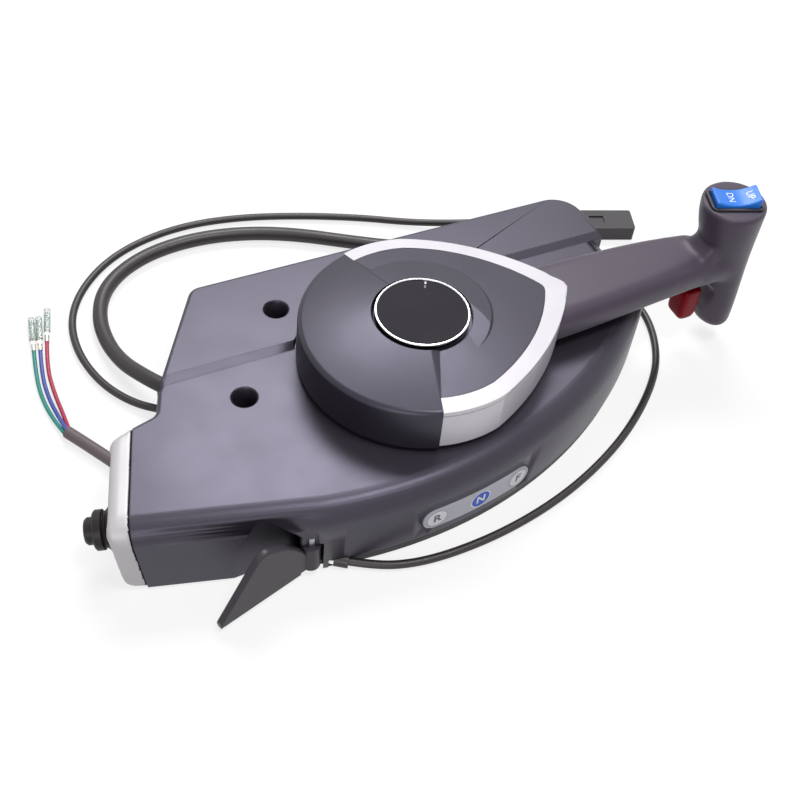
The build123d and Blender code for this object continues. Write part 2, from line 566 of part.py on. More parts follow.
key_slot = END_PLANE.offset(PANEL_FACE + 3.4) * Pos(-KEY_U, KEY_V, -6) * Box(1.6, 8.5, 13)
keep("ignition_barrel", solid_of(key_barrel - key_slot))


def ring_nut(body_d, u, v, across):
    """Hexagon nut on a switch body, behind the panel."""
    blank = END_PLANE.offset(PANEL_FACE - PANEL_THICK - 3.2) * Pos(-u, v, 0) * \
        extrude(RegularPolygon(across / 2, 6, major_radius=False), 3)
    return blank - end_disc(body_d + 0.1, u, v, -30, BEZEL_DEPTH)


keep("switch_nuts", solid_of(ring_nut(STOP_BODY_D, STOP_U, STOP_V, 20)),
     solid_of(ring_nut(KEY_BODY_D, KEY_U, KEY_V, 20.5)))

# ---------------------------------------------------------------- shaft, bushes, spacers
keep("lower_bush", solid_of(disc(BUSH_D, BASE + 0.2, LOWER_BUSH_TOP) + disc(BUSH_FLANGE_D,
     LOWER_BUSH_TOP - BUSH_FLANGE, LOWER_BUSH_TOP) - disc(SHAFT_D + 2 * BUSH_FIT, 0, CASE_TOP)))
keep("upper_bush", solid_of(disc(BUSH_D, UPPER_BUSH_FOOT - 1, CASE_TOP - 0.2) + disc(BUSH_FLANGE_D,
     UPPER_BUSH_FOOT - BUSH_FLANGE, UPPER_BUSH_FOOT) - disc(SHAFT_D + 2 * BUSH_FIT, 0, CASE_TOP)))
hexagon = RegularPolygon(SHAFT_HEX / 2, 6, major_radius=False)
shaft = disc(SHAFT_D, SHAFT_FOOT_Z, SHAFT_SHOULDER_Z) + extrude(Pos(0, 0, SHAFT_SHOULDER_Z - 1) * hexagon,
                                                               SHAFT_TOP_Z - SHAFT_SHOULDER_Z + 0.8)
shaft -= disc(8.1, SHAFT_TOP_Z - 20, SHAFT_TOP_Z + 1)
keep("drive_shaft", solid_of(shaft))
CLEAR = 0.05


def sleeve(outer_d, bore, bottom, top, x=0.0, y=0.0):
    return solid_of(disc(outer_d, bottom, top, x, y) - disc(bore, bottom - 1, top + 1, x, y))


keep("shaft_spacers", *[sleeve(22, SHAFT_D + CLEAR, z0 + CLEAR, z1 - CLEAR) for z0, z1 in
                        ((LOWER_BUSH_TOP + 0.2, GEAR_Z0), (GEAR_Z1, CAM_Z0), (CAM_Z1, DETENT_Z0))])


# ---------------------------------------------------------------- gears
def involute(angle):
    return tan(angle) - angle


def tooth(teeth, slack):
    """One involute tooth on the X axis, from just under the root circle to the tip."""
    pitch_r = MODULE * teeth / 2
    base_r, root_r, tip_r = pitch_r * cos(radians(20)), pitch_r - 1.15 * MODULE, pitch_r + 0.9 * MODULE

    def flank(r):
        spread = involute(radians(20)) - involute(acos(min(1.0, base_r / max(r, base_r))))
        half = pi / (2 * teeth) - slack / (4 * pitch_r) + spread
        return Vector(r * cos(half), r * sin(half))

    start = max(base_r, root_r)
    low, mid, high = flank(start), flank((start + tip_r) / 2), flank(tip_r)
    foot = Vector(root_r - 0.6, low.Y)
    mirrored = [Vector(p.X, -p.Y) for p in (low, mid, high, foot)]
    edge = Line(foot, low) + ThreePointArc(low, mid, high)
    edge += Line(high, mirrored[2]) + ThreePointArc(mirrored[2], mirrored[1], mirrored[0])
    edge += Line(mirrored[0], mirrored[3]) + Line(mirrored[3], foot)
    return make_face(edge), root_r


def toothed(teeth, first, count, aim, slack):
    """Count teeth of a gear, from the first, with tooth 0 aimed at an angle."""
    shape, root_r = tooth(teeth, slack)
    blank = Sketch() + [Rot(0, 0, aim + 360 / teeth * k) * shape for k in [first + i for i in range(count)]]
    return blank, root_r


pinion_face, pinion_root = toothed(PINION_TEETH, 0, PINION_TEETH, SECTOR_ANGLE, BACKLASH)
pinion_face += Circle(pinion_root)
pinion = extrude(Pos(0, 0, GEAR_Z0) * pinion_face, GEAR_Z1 - GEAR_Z0) - disc(SHAFT_D + CLEAR, 0, CASE_TOP)
keep("drive_pinion", solid_of(pinion))

CENTRES = MODULE * (PINION_TEETH + SECTOR_TEETH) / 2
STUD_X, STUD_Y = CENTRES * cos(radians(SECTOR_ANGLE)), CENTRES * sin(radians(SECTOR_ANGLE))
sector_face, sector_root = toothed(SECTOR_TEETH, -(SECTOR_SPAN // 2), SECTOR_SPAN,
                                   SECTOR_ANGLE + 180 + 180 / SECTOR_TEETH, BACKLASH)
half = Rot(0, 0, SECTOR_ANGLE + 180) * Pos(SECTOR_TEETH * MODULE / 2, 0) * Rectangle(SECTOR_TEETH * MODULE, 200)
wedge = Circle(sector_root) & half
arm_run = Rot(0, 0, SECTOR_ANGLE) * Pos(SHIFT_ARM_L / 2, 0) * SlotOverall(SHIFT_ARM_L + 12, 12)
sector = extrude(Pos(STUD_X, STUD_Y, GEAR_Z0 + 0.5) * (sector_face + wedge + Circle(14) + arm_run),
                 GEAR_Z1 - GEAR_Z0 - 1)
sector += disc(18, GEAR_Z0 - 3, GEAR_Z1 + 2, STUD_X, STUD_Y)
sector -= disc(STUD_D + 2 * PIN_FIT, 0, CASE_TOP, STUD_X, STUD_Y)
pin_x = STUD_X + SHIFT_ARM_L * cos(radians(SECTOR_ANGLE))
pin_y = STUD_Y + SHIFT_ARM_L * sin(radians(SECTOR_ANGLE))
sector += disc(6, GEAR_Z1 - 2, GEAR_Z1 + 9, pin_x, pin_y)
keep("shift_sector", solid_of(sector))


def stud(x, y, top, foot):
    """Shouldered stud on the back case, with a clip at its top."""
    return solid_of(disc(STUD_D, BASE, top, x, y) + disc(STUD_D + 4, BASE, foot, x, y))


keep("shift_stud", stud(STUD_X, STUD_Y, GEAR_Z1 + 4.5, GEAR_Z0 - 3.3))

# ---------------------------------------------------------------- throttle cam and arm
def follower(angle):
    """Roller centre in the case when the lever stands at an angle."""
    swing = radians(FOLLOWER_ANGLE + CAM_RATIO * angle)
    return Vector(THROTTLE_X + FOLLOWER_L * cos(swing), THROTTLE_Y + FOLLOWER_L * sin(swing))


def track_point(angle):
    """The same point carried back into the cam, which turns with the lever."""
    return follower(angle).rotate(Axis.Z, -angle)


OVERRUN = 5.0
STATIONS = 9
angles = [LEVER_MIN - OVERRUN + (LEVER_MAX - LEVER_MIN + 2 * OVERRUN) * k / (STATIONS - 1) for k in range(STATIONS)]
track_line = Spline(*[track_point(a) for a in angles])
track_w = ROLLER_D + 2 * ROLLER_FIT
track = trace(track_line, track_w) + [Pos(track_point(a)) * Circle(track_w / 2) for a in (angles[0], angles[-1])]
rib = trace(track_line, track_w + 2 * CAM_RIB) + [Pos(track_point(a)) * Circle(track_w / 2 + CAM_RIB) for a in
                                         (angles[0], angles[-1])]
web = make_face(Polyline([(0, 0)] + [track_point(a) for a in angles] + [(0, 0)]))
cam = extrude(Pos(0, 0, CAM_Z0) * ((rib + web + Circle(17)) - track - Circle(SHAFT_D / 2 + CLEAR / 2)),
              CAM_Z1 - CAM_Z0)
keep("throttle_cam", solid_of(cam))

roller_at = follower(0)
tail_angle = radians(FOLLOWER_ANGLE + THROTTLE_ARM_TURN)
tail = Vector(THROTTLE_X + THROTTLE_ARM_L * cos(tail_angle), THROTTLE_Y + THROTTLE_ARM_L * sin(tail_angle))


def link(start, end, width, bottom, top):
    """Flat link with round ends between two centres."""
    mid, run = (start + end) * 0.5, end - start
    bar = Pos(mid.X, mid.Y, bottom) * Rot(0, 0, degrees(atan2(run.Y, run.X))) * SlotOverall(run.length + width, width)
    return extrude(bar, top - bottom)


pivot = Vector(THROTTLE_X, THROTTLE_Y)
throttle_arm = link(pivot, roller_at, 12, ARM_Z0, ARM_Z1) + link(pivot, tail, 12, ARM_Z0, ARM_Z1)
throttle_arm += disc(STUD_D + 4, CAM_Z0, ARM_Z1 + 1, THROTTLE_X, THROTTLE_Y)
throttle_arm += disc(4, CAM_Z0 - 0.3, ARM_Z1, roller_at.X, roller_at.Y)
throttle_arm += disc(6, ARM_Z1 - 1, ARM_Z1 + 8, tail.X, tail.Y)
throttle_arm -= disc(STUD_D + 2 * PIN_FIT, 0, CASE_TOP, THROTTLE_X, THROTTLE_Y)
keep("throttle_arm", solid_of(throttle_arm))
keep("cam_roller", sleeve(ROLLER_D, 4 + CLEAR, CAM_Z0, ARM_Z0 - 0.3, roller_at.X, roller_at.Y))
keep("throttle_stud", stud(THROTTLE_X, THROTTLE_Y, ARM_Z1 + 3.5, CAM_Z0 - 0.3))

# ---------------------------------------------------------------- neutral detent
roller_r = DETENT_R + 0.4 + DETENT_ROLLER_D / 2
detent_at = Vector(roller_r * cos(radians(DETENT_ANGLE)), roller_r * sin(radians(DETENT_ANGLE)))
plate_disc = disc(2 * DETENT_R, DETENT_Z0, DETENT_Z1) - disc(SHAFT_D + CLEAR, 0, CASE_TOP)
for swing in (-30, 0, 30):
    place = detent_at.rotate(Axis.Z, swing) * ((roller_r - 1.6) / roller_r)
    plate_disc -= disc(DETENT_ROLLER_D, DETENT_Z0 - 1, DETENT_Z1 + 1, place.X, place.Y)
keep("detent_plate", solid_of(plate_disc))
keep("detent_roller", sleeve(DETENT_ROLLER_D, 3 + CLEAR, DETENT_Z0, DETENT_Z1, detent_at.X, detent_at.Y))
leaf_foot = Vector(*POST_SPOTS[2])
leaf = link(detent_at, leaf_foot, 9, DETENT_Z1 + 0.3, DETENT_Z1 + 1.5)
leaf += disc(3, DETENT_Z0, DETENT_Z1 + 1, detent_at.X, detent_at.Y)
leaf += disc(POST_D + 4, DETENT_Z1 + 0.3, DETENT_Z1 + 1.5, leaf_foot.X, leaf_foot.Y)
leaf -= disc(POST_D + 0.5, 0, CASE_TOP, leaf_foot.X, leaf_foot.Y)
keep("detent_spring", solid_of(leaf))
keep("neutral_switch", solid_of(turned(35) * (block(27, 47, -4, 4, 32, 42) + block(24.4, 27.5, -1.5, 1.5, 34, 37))))
keep("warning_buzzer", solid_of(disc(24, BASE, BASE + 11, 100, 42) - disc(5, BASE + 8, BASE + 12, 100, 42)))

# ---------------------------------------------------------------- hub
def pick(tip, waist, radius):
    """Plan of the hub's right side: a circle drawn out to a blunt point on the X axis."""
    side = Vector(radius * cos(radians(TRIM_TANGENT)), radius * sin(radians(TRIM_TANGENT)))
    bow = Vector(waist * cos(radians(TRIM_WAIST_AT)), waist * sin(radians(TRIM_WAIST_AT)))
    low_side, low_bow = Vector(side.X, -side.Y), Vector(bow.X, -bow.Y)
    edge = ThreePointArc((tip, 0), bow, side) + ThreePointArc(side, (-radius, 0), low_side)
    return make_face(edge + ThreePointArc(low_side, low_bow, (tip, 0)))


def crown_z(r, drop=0.0):
    """Height of the hub's shallow cone, or of a cone that starts lower at the ring."""
    top = HUB_CROWN_Z - drop
    return top - (r - RING_R) * (top - HUB_EDGE_Z) / (HUB_EDGE_R - RING_R)


def crown(inner_r, outer_r, foot, drop=0.0):
    """Solid of revolution under the hub's shallow cone."""
    def height(r):
        return crown_z(r, drop)
    profile = Polyline((inner_r, foot), (outer_r, foot), (outer_r, height(outer_r)),
                       (inner_r, height(inner_r)), (inner_r, foot))
    return revolve(Plane.XZ * make_face(profile), Axis.Z, 360)


def wedge_plan(half_angle):
    """Everything within an angle of the lever's direction."""
    reach = 3 * HUB_R
    edge = [(0, 0)] + [(reach * cos(radians(a)), reach * sin(radians(a)))
                       for a in (-half_angle, -half_angle / 2, 0, half_angle / 2, half_angle)] + [(0, 0)]
    return extrude(make_face(Polyline(edge)), 2 * CASE_TOP)


trim_plan = pick(TIP_X, TRIM_WAIST_R, TRIM_R)
face_plan = fillet(near(pick(TIP_X - TRIM_TIP_BAND, TRIM_WAIST_R - TRIM_WAIST_BAND,
                             TRIM_R - TRIM_BAND).vertices(), TIP_X, 0), 6)
trim_side = wedge_plan(HUB_SPLIT)
arm_section = [(ARM_ROOT_X, 0.0, 48.0), (95.0, 0.5, 46.0), (140.0, 1.5, 41.0), (184.0, 0.5, 33.0)]


def arm_form(grow):
    """The lever arm: rounded sections lofted along X."""
    sections = []
    for x, y, width in arm_section:
        plane = Plane(origin=(x, y, (ARM_FOOT_Z + ARM_TOP_Z) / 2), x_dir=(0, 1, 0), z_dir=(1, 0, 0))
        sections.append(plane * RectangleRounded(width + 2 * grow, ARM_TOP_Z - ARM_FOOT_Z + 2 * grow,
                                                 ARM_ROUND + grow))
    return loft(sections)


trim_top = HUB_EDGE_Z + 4
trim = (extrude(Pos(0, 0, TRIM_FOOT_Z) * trim_plan, trim_top - TRIM_FOOT_Z) & crown(1, 2 * HUB_R, TRIM_FOOT_Z)
        & trim_side)
trim -= extrude(Pos(0, 0, 0) * offset(trim_plan, -TRIM_WALL, kind=Kind.INTERSECTION), HUB_EDGE_Z - TRIM_BAND_T - 2.4)
trim -= extrude(Pos(0, 0, 0) * offset(face_plan, HUB_FIT), 2 * CASE_TOP)
trim -= arm_form(HUB_GAP)
groove = extrude(Pos(0, 0, TRIM_LINE_Z) * offset(trim_plan, TRIM_LINE_T), TRIM_LINE_W)
trim -= groove - extrude(offset(trim_plan, -TRIM_LINE_T), 2 * CASE_TOP)
keep("hub_trim", solid_of(trim))


def facet(side):
    """Slanted facet that brings the face up to the cover at a split: wide at the ring, nothing at the rim."""
    out = Vector(cos(radians(HUB_SPLIT)), side * sin(radians(HUB_SPLIT)), 0)
    across = Vector(sin(radians(HUB_SPLIT)), -side * cos(radians(HUB_SPLIT)), 0)
    inner, rim = out * (RING_R - RING_GAP), out * HUB_EDGE_R
    foot = inner + across * FACET_W
    plan = make_face(Polyline([inner, foot, rim, inner]))
    high = inner + Vector(0, 0, crown_z(inner.length))
    low = foot + Vector(0, 0, crown_z(foot.length, FACE_DROP))
    edge = rim + Vector(0, 0, HUB_EDGE_Z)
    normal = (low - high).cross(edge - high)
    normal = normal if normal.Z > 0 else -normal
    slope = Plane(origin=high, x_dir=low - high, z_dir=normal)
    above = slope * Pos(0, 0, HUB_R) * Box(4 * HUB_R, 4 * HUB_R, 2 * HUB_R)
    return extrude(Pos(0, 0, FACE_FOOT_Z) * plan, HUB_CROWN_Z) - above


def mound():
    """Crescent raised round the badge ring, crisp toward the far side, dying out toward the near one."""
    profile = Polyline((0, FACE_FOOT_Z), (MOUND_R, FACE_FOOT_Z), (MOUND_R, crown_z(MOUND_R, FACE_DROP)),
                       (MOUND_R - MOUND_SLOPE, HUB_CROWN_Z), (0, HUB_CROWN_Z), (0, FACE_FOOT_Z))
    dome = Pos(MOUND_X, MOUND_Y, 0) * revolve(Plane.XZ * make_face(profile), Axis.Z, 360)
    lid = Pos(0, 0, HUB_CROWN_Z) * Rot(MOUND_LEAN, 0, 0) * Pos(0, 0, HUB_R) * Box(4 * HUB_R, 4 * HUB_R, 2 * HUB_R)
    return (dome & crown(1, 2 * HUB_R, FACE_FOOT_Z) & trim_side) - lid


face_top = extrude(Pos(0, 0, FACE_FOOT_Z) * face_plan, HUB_CROWN_Z) & trim_side
face_top = face_top & crown(1, 2 * HUB_R, FACE_FOOT_Z, FACE_DROP)
face_top += mound()
for side in (-1, 1):
    face_top += facet(side)
face_top -= disc(2 * (RING_R + RING_GAP), HUB_SHOULDER_Z, 2 * CASE_TOP)
carrier = disc(2 * RING_R, FACE_FOOT_Z, BADGE_SEAT_Z - 1.5)
carrier += disc(2 * RING_R + 4, FACE_FOOT_Z, BADGE_SEAT_Z - 1.5) & trim_side
face_top += carrier - disc(2 * RING_R - 12, 0, 2 * CASE_TOP)
keep("hub_face", solid_of(face_top))
shell = Polyline((HUB_R - 3, TRIM_FOOT_Z + 1), (HUB_R - 3, CASE_TOP + HUB_GAP), (HUB_R, CASE_TOP + HUB_GAP),
                 (HUB_R - 0.8, HUB_SHOULDER_Z), (HUB_EDGE_R, HUB_EDGE_Z), (RING_R + RING_GAP, crown_z(RING_R + RING_GAP)),
                 (RING_R + RING_GAP, BADGE_SEAT_Z - 1.2), (HUB_EDGE_R - 1.5, HUB_EDGE_Z - 3),
                 (HUB_R - 3.6, HUB_SHOULDER_Z - 1.6), (HUB_R - 3, TRIM_FOOT_Z + 1))
cover = revolve(Plane.XZ * make_face(shell), Axis.Z, 360)
cover -= wedge_plan(HUB_SPLIT + 0.15)
keep("hub_cover", solid_of(cover))
base_ring = disc(2 * (HUB_R - 3.2), CASE_TOP + HUB_GAP, TRIM_FOOT_Z - 0.1) - disc(SHAFT_D + 2, 0, 2 * CASE_TOP)
keep("hub_base", solid_of(base_ring))
keep("badge_ring", sleeve(2 * RING_R, 2 * BADGE_R + 0.1, BADGE_SEAT_Z - 1.4, RING_TOP_Z))
keep("badge_disc", disc(2 * BADGE_R, BADGE_SEAT_Z - 1.4, BADGE_TOP_Z))
bolt = disc(13, CORE_TOP_Z + 1.8, CORE_TOP_Z + 9) + disc(8, SHAFT_TOP_Z - 16, CORE_TOP_Z + 2)
bolt -= extrude(Pos(0, 0, CORE_TOP_Z + 4) * RegularPolygon(3, 6, major_radius=False), 9)
keep("hub_bolt", solid_of(bolt))
keep("hub_washer", sleeve(24, 8.4, CORE_TOP_Z + 0.2, CORE_TOP_Z + 1.8))

# ---------------------------------------------------------------- lever arm and grip
grip_section = [(GRIP_FOOT_Z, 205.5, -3.0, 20.0, 27.0), (45.0, 203.0, -2.5, 23.0, 30.0),
                (70.0, 199.0, -2.0, 29.0, 32.5), (88.0, 195.5, GRIP_Y, 35.0, 35.5),
                (GRIP_TOP_Z, 194.0, GRIP_Y, HEAD_D, HEAD_D - 0.5)]
grip = loft([Pos(x, y, z) * Ellipse(a / 2, b / 2) for z, x, y, a, b in grip_section])
grip = fillet(grip.edges().sort_by(Axis.Z)[0], 8)
grip = fillet(grip.edges().sort_by(Axis.Z)[-1], 1.4)
lever = arm_form(0) + grip + disc(2 * CORE_R, SHAFT_SHOULDER_Z, HUB_SHOULDER_Z + 0.8)
lever = solid_of(lever)
lever -= disc(28, CORE_TOP_Z, HUB_SHOULDER_Z + 5)
lever -= extrude(Pos(0, 0, 0) * RegularPolygon(SHAFT_HEX / 2 + CLEAR, 6, major_radius=False), CORE_TOP_Z + 1)
lever -= Pos((ROD_FOOT_X - 2 + TRIGGER_X1) / 2, 0, ROD_Z) * Rot(0, 90, 0) * \
    Cylinder(ROD_D / 2 + 0.6, TRIGGER_X1 + TRIGGER_TRAVEL - ROD_FOOT_X)


def trigger_form(grow):
    """Squeeze trigger: a block with a rounded lower corner toward the hub."""
    face = Plane.XZ * Pos((TRIGGER_X0 + TRIGGER_X1) / 2, (TRIGGER_Z0 + TRIGGER_Z1) / 2) * \
        RectangleRounded(TRIGGER_X1 - TRIGGER_X0 + 2 * grow, TRIGGER_Z1 - TRIGGER_Z0 + 2 * grow, 5)
    return extrude(Pos(0, GRIP_Y, 0) * face, TRIGGER_W / 2 + grow, both=True)


TAB_X0, TAB_X1, TAB_W = 176.0, 184.0, 7.0
trigger = trigger_form(0)
trigger = fillet([e for e in trigger.edges() if abs(abs(e.center().Y - GRIP_Y) - TRIGGER_W / 2) < 0.01
                  and e.center().X < TRIGGER_X1 - 6], 3)
tab = block(TAB_X0, TAB_X1, -TAB_W / 2, TAB_W / 2, TRIGGER_Z1 - 3, ROD_Z + 4)
keep("neutral_lock_trigger", solid_of(trigger + tab - Pos(TAB_X0, 0, ROD_Z) * Rot(0, 90, 0) * Cylinder(ROD_D / 2, 8)))
keep("lock_rod", solid_of(Pos((ROD_FOOT_X + TAB_X0 + 4) / 2, 0, ROD_Z) * Rot(0, 90, 0) *
                          Cylinder(ROD_D / 2 - 0.02, TAB_X0 + 4 - ROD_FOOT_X)))
pocket = trigger_form(TRIGGER_FIT)
lever -= pocket + Pos(TRIGGER_TRAVEL, 0, 0) * pocket
lever -= block(TAB_X0 - TRIGGER_FIT, TAB_X1 + TRIGGER_TRAVEL + TRIGGER_FIT, -TAB_W / 2 - TRIGGER_FIT,
               TAB_W / 2 + TRIGGER_FIT, TRIGGER_Z1 - 2, ROD_Z + 4.6)

# head socket, rocker frame, rocker and its pin
HEAD = Pos(194.0, GRIP_Y, 0) * Rot(0, 0, ROCKER_TURN)
FRAME_L = ROCKER_L + 2 * (ROCKER_END_FIT + SWITCH_FRAME)
FRAME_W = ROCKER_W + 2 * (ROCKER_FIT + SWITCH_FRAME)
FRAME_FOOT = ROCKER_AXIS_Z - 9
lever -= HEAD * extrude(Pos(0, 0, FRAME_FOOT - 0.2) * RectangleRounded(FRAME_L + 0.2, FRAME_W + 0.2, 4), 20)
keep("lever_arm", solid_of(lever))
frame = extrude(Pos(0, 0, FRAME_FOOT) * RectangleRounded(FRAME_L, FRAME_W, 3.9), GRIP_TOP_Z + 0.8 - FRAME_FOOT)
frame -= extrude(Pos(0, 0, FRAME_FOOT + 2) * Rectangle(FRAME_L - 2 * SWITCH_FRAME, FRAME_W - 2 * SWITCH_FRAME), 20)
pin_hole = Pos(0, 0, ROCKER_AXIS_Z) * Rot(90, 0, 0) * Cylinder(1.05, FRAME_W + 2)
keep("trim_switch_frame", solid_of(HEAD * (frame - pin_hole)))
half_l = ROCKER_L / 2
saddle = Polyline((-half_l, ROCKER_TIP_Z - 2.4), (-half_l, ROCKER_AXIS_Z - 1), (-half_l + 5, ROCKER_AXIS_Z - 4),
                  (half_l - 5, ROCKER_AXIS_Z - 4), (half_l, ROCKER_AXIS_Z - 1), (half_l, ROCKER_TIP_Z))
saddle += ThreePointArc((half_l, ROCKER_TIP_Z), (0, ROCKER_TIP_Z - 4.6), (-half_l, ROCKER_TIP_Z - 2.4))
rocker = extrude(Plane.XZ * make_face(saddle), ROCKER_W / 2, both=True)
rocker = fillet([e for e in rocker.edges() if e.center().Z > ROCKER_TIP_Z - 6], 1.0)
keep("trim_rocker", solid_of(HEAD * (rocker - pin_hole)))
keep("rocker_pin", solid_of(HEAD * Pos(0, 0, ROCKER_AXIS_Z) * Rot(90, 0, 0) * Cylinder(1.0, FRAME_W - 0.2)))

# ---------------------------------------------------------------- free-throttle lever
paddle_run = Vector(cos(radians(PADDLE_ANGLE)), sin(radians(PADDLE_ANGLE)), 0)
side = upright(blade_outline(), HINGE, paddle_run)
paddle = extrude(side, PADDLE_T / 2, both=True)
long_edges = [e for e in paddle.edges() if e.length > 12]
paddle = fillet(long_edges, PADDLE_T * 0.3)
paddle -= disc(BARREL_D - 0.2, -1, CASE_TOP, HINGE.X, HINGE.Y)
paddle -= disc(BARREL_D + 6, -1, BASE + 0.4, HINGE.X, HINGE.Y)
barrel = disc(BARREL_D, BASE + 0.4, BARREL_TOP_Z, HINGE.X, HINGE.Y)
paddle += barrel - disc(PIN_D + 2 * PIN_FIT, 0, CASE_TOP, HINGE.X, HINGE.Y)
keep("free_throttle_lever", solid_of(paddle))

# ---------------------------------------------------------------- glands, ports and cable anchor
def gland(origin, run, cord_d, inner, outer_reach, flange):
    """Rubber bush that a cord leaves through: body in the wall, a rim outside."""
    body = along(origin, run, cord_d + 2 * GLAND_WALL - 0.1, inner, outer_reach)
    body += along(origin, run, flange, outer_reach - 2, outer_reach)
    return solid_of(body - along(origin, run, cord_d + 2 * CORD_FIT, inner - 1, outer_reach + 1))


keep("harness_gland", gland(HARNESS_START, HARNESS_OUT, HARNESS_D, 0, 9, 15))
keep("lead_glands", gland(LEAD_START, LEAD_OUT, LEAD_D, 0, 5.6, 8.4), gland(LEAD_END, LEAD_BACK, LEAD_D, 0, 7.6, 6.8))
keep("pigtail_gland", gland(SLEEVE_START, SLEEVE_OUT, SLEEVE_D, 0, 9.5, 10.4))
port_seals = [along(from_wall(s_at, PORT_Z), SLANT_OUT, PORT_D - 0.1, -3.4, 0.1)
              + along(from_wall(s_at, PORT_Z), SLANT_OUT, PORT_D + 3, 0.1, 2.4)
              - along(from_wall(s_at, PORT_Z), SLANT_OUT, 3, 1, 4) for s_at in PORT_SPOTS]
keep("port_seals", *[solid_of(seal) for seal in port_seals])
anchor_mid = from_wall(sum(PORT_SPOTS) / 2, BASE) - SLANT_OUT * 22
anchor_plane = Plane(origin=anchor_mid, x_dir=SLANT_RUN, z_dir=(0, 0, 1))
anchor = anchor_plane * (Pos(0, 0, 1.5) * Box(38, 14, 3) + Pos(0, 0, 14) * Box(34, 5, 26))
for s_at in PORT_SPOTS:
    anchor -= along(from_wall(s_at, PORT_Z), SLANT_OUT, 8, -30, 0)
for side_at in (-16, 16):
    anchor -= anchor_plane * Pos(side_at, 4.5, 0) * Cylinder(2.2, 12)
keep("cable_anchor", solid_of(anchor))

# ---------------------------------------------------------------- cords
def route_points(route):
    return [Vector(*p) for p in route]


def cord(name, route, diameter):
    """Round cord: straight runs joined by arcs as large as the runs allow."""
    points = route_points(route)
    runs = [b - a for a, b in zip(points, points[1:])]
    radii = []
    for before, after in zip(runs, runs[1:]):
        turn = radians(before.get_angle(after))
        radii.append(0.45 * min(before.length, after.length) / tan(turn / 2))
    path = FilletPolyline(*points, radius=radii)
    section = Plane(origin=points[0], z_dir=runs[0]) * Circle(diameter / 2)
    tube = solid_of(sweep(section, path=path))
    ratio = tube.volume / (pi * diameter ** 2 / 4 * path.length)
    print(f"{name}: length {path.length:.0f}, volume ratio {ratio:.4f}, smallest radius / diameter "
          f"{min(radii) / diameter:.1f}, low {tube.bounding_box().min.Z:.2f}", [round(r) for r in radii])
    keep(name, tube)
    return tube


cord("harness_cord", HARNESS_ROUTE, HARNESS_D)
cord("trim_lead", LEAD_ROUTE, LEAD_D)
cord("pigtail_sleeve", SLEEVE_ROUTE, SLEEVE_D)
terminals, boots = [], []
for name, route in WIRE_ROUTES.items():
    cord(name, route, WIRE_D)
    tip = Vector(*route[-1])
    run = tip - Vector(*route[-2])
    crimp = along(tip, run, TERMINAL_W, 0, 5)
    blade = Plane(origin=tip + run.normalized() * 4, x_dir=(0, 0, 1), z_dir=run.normalized()) * \
        Pos(0, 0, TERMINAL_L / 2) * Box(TERMINAL_T, TERMINAL_W - 0.4, TERMINAL_L)
    terminals.append(solid_of(crimp + blade))
    boot = along(tip, run, BOOT_D, BOOT_START, BOOT_START + BOOT_L)
    boot -= along(tip, run, BOOT_D - 0.9, BOOT_START - 1, BOOT_START + BOOT_L + 1)
    boots.append(solid_of(boot))
keep("wire_terminals", *terminals)
keep("terminal_boots", *boots)

plug_at = Vector(*HARNESS_ROUTE[-1])
plug_run = plug_at - Vector(*HARNESS_ROUTE[-2])
plug_plane = Plane(origin=(plug_at.X, plug_at.Y, PLUG_H / 2 + 0.05), x_dir=(plug_run.X, plug_run.Y, 0), z_dir=(0, 0, 1))
plug = plug_plane * (Pos(PLUG_L / 2, 0, 0) * Box(PLUG_L, PLUG_W, PLUG_H))
plug = fillet(plug.edges().filter_by(Axis.Z), 1.5)
plug -= plug_plane * (Pos(PLUG_L - 8, 0, 0) * Box(20, PLUG_W - 3.2, PLUG_H - 3.2))
plug -= plug_plane * (Pos(16, 0, PLUG_H / 2) * Box(10, 7, 2))
keep("harness_plug", solid_of(plug))
pins = [plug_plane * Pos(PLUG_L - 12, y, z) * Box(12, 1.2, 1.2) for y in (-6, -3.6, -1.2, 1.2, 3.6, 6) for z in (-1.7, 1.7)]
keep("plug_pins", *[solid_of(p) for p in pins])
print("pieces", len(PARTS))
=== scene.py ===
from math import cos, radians, sin

import bmesh
import bpy
from mathutils import Matrix, Vector
from mathutils.bvhtree import BVHTree


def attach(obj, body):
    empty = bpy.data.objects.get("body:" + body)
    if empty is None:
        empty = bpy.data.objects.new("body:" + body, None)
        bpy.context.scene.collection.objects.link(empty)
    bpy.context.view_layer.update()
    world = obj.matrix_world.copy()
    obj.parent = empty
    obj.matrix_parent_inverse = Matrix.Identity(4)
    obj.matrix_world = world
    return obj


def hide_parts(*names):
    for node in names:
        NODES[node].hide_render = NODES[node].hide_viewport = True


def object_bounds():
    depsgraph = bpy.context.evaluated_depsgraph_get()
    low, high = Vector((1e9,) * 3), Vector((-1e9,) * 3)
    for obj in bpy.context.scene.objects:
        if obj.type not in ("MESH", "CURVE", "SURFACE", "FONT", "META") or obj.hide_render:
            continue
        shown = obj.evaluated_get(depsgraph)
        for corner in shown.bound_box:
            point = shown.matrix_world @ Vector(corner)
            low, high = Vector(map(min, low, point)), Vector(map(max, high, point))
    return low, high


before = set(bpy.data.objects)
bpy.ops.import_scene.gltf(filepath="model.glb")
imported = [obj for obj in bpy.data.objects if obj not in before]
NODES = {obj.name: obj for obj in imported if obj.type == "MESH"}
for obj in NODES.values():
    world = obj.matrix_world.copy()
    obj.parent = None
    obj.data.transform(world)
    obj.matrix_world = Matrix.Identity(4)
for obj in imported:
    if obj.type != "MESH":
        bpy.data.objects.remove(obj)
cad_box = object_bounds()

MM = 0.001


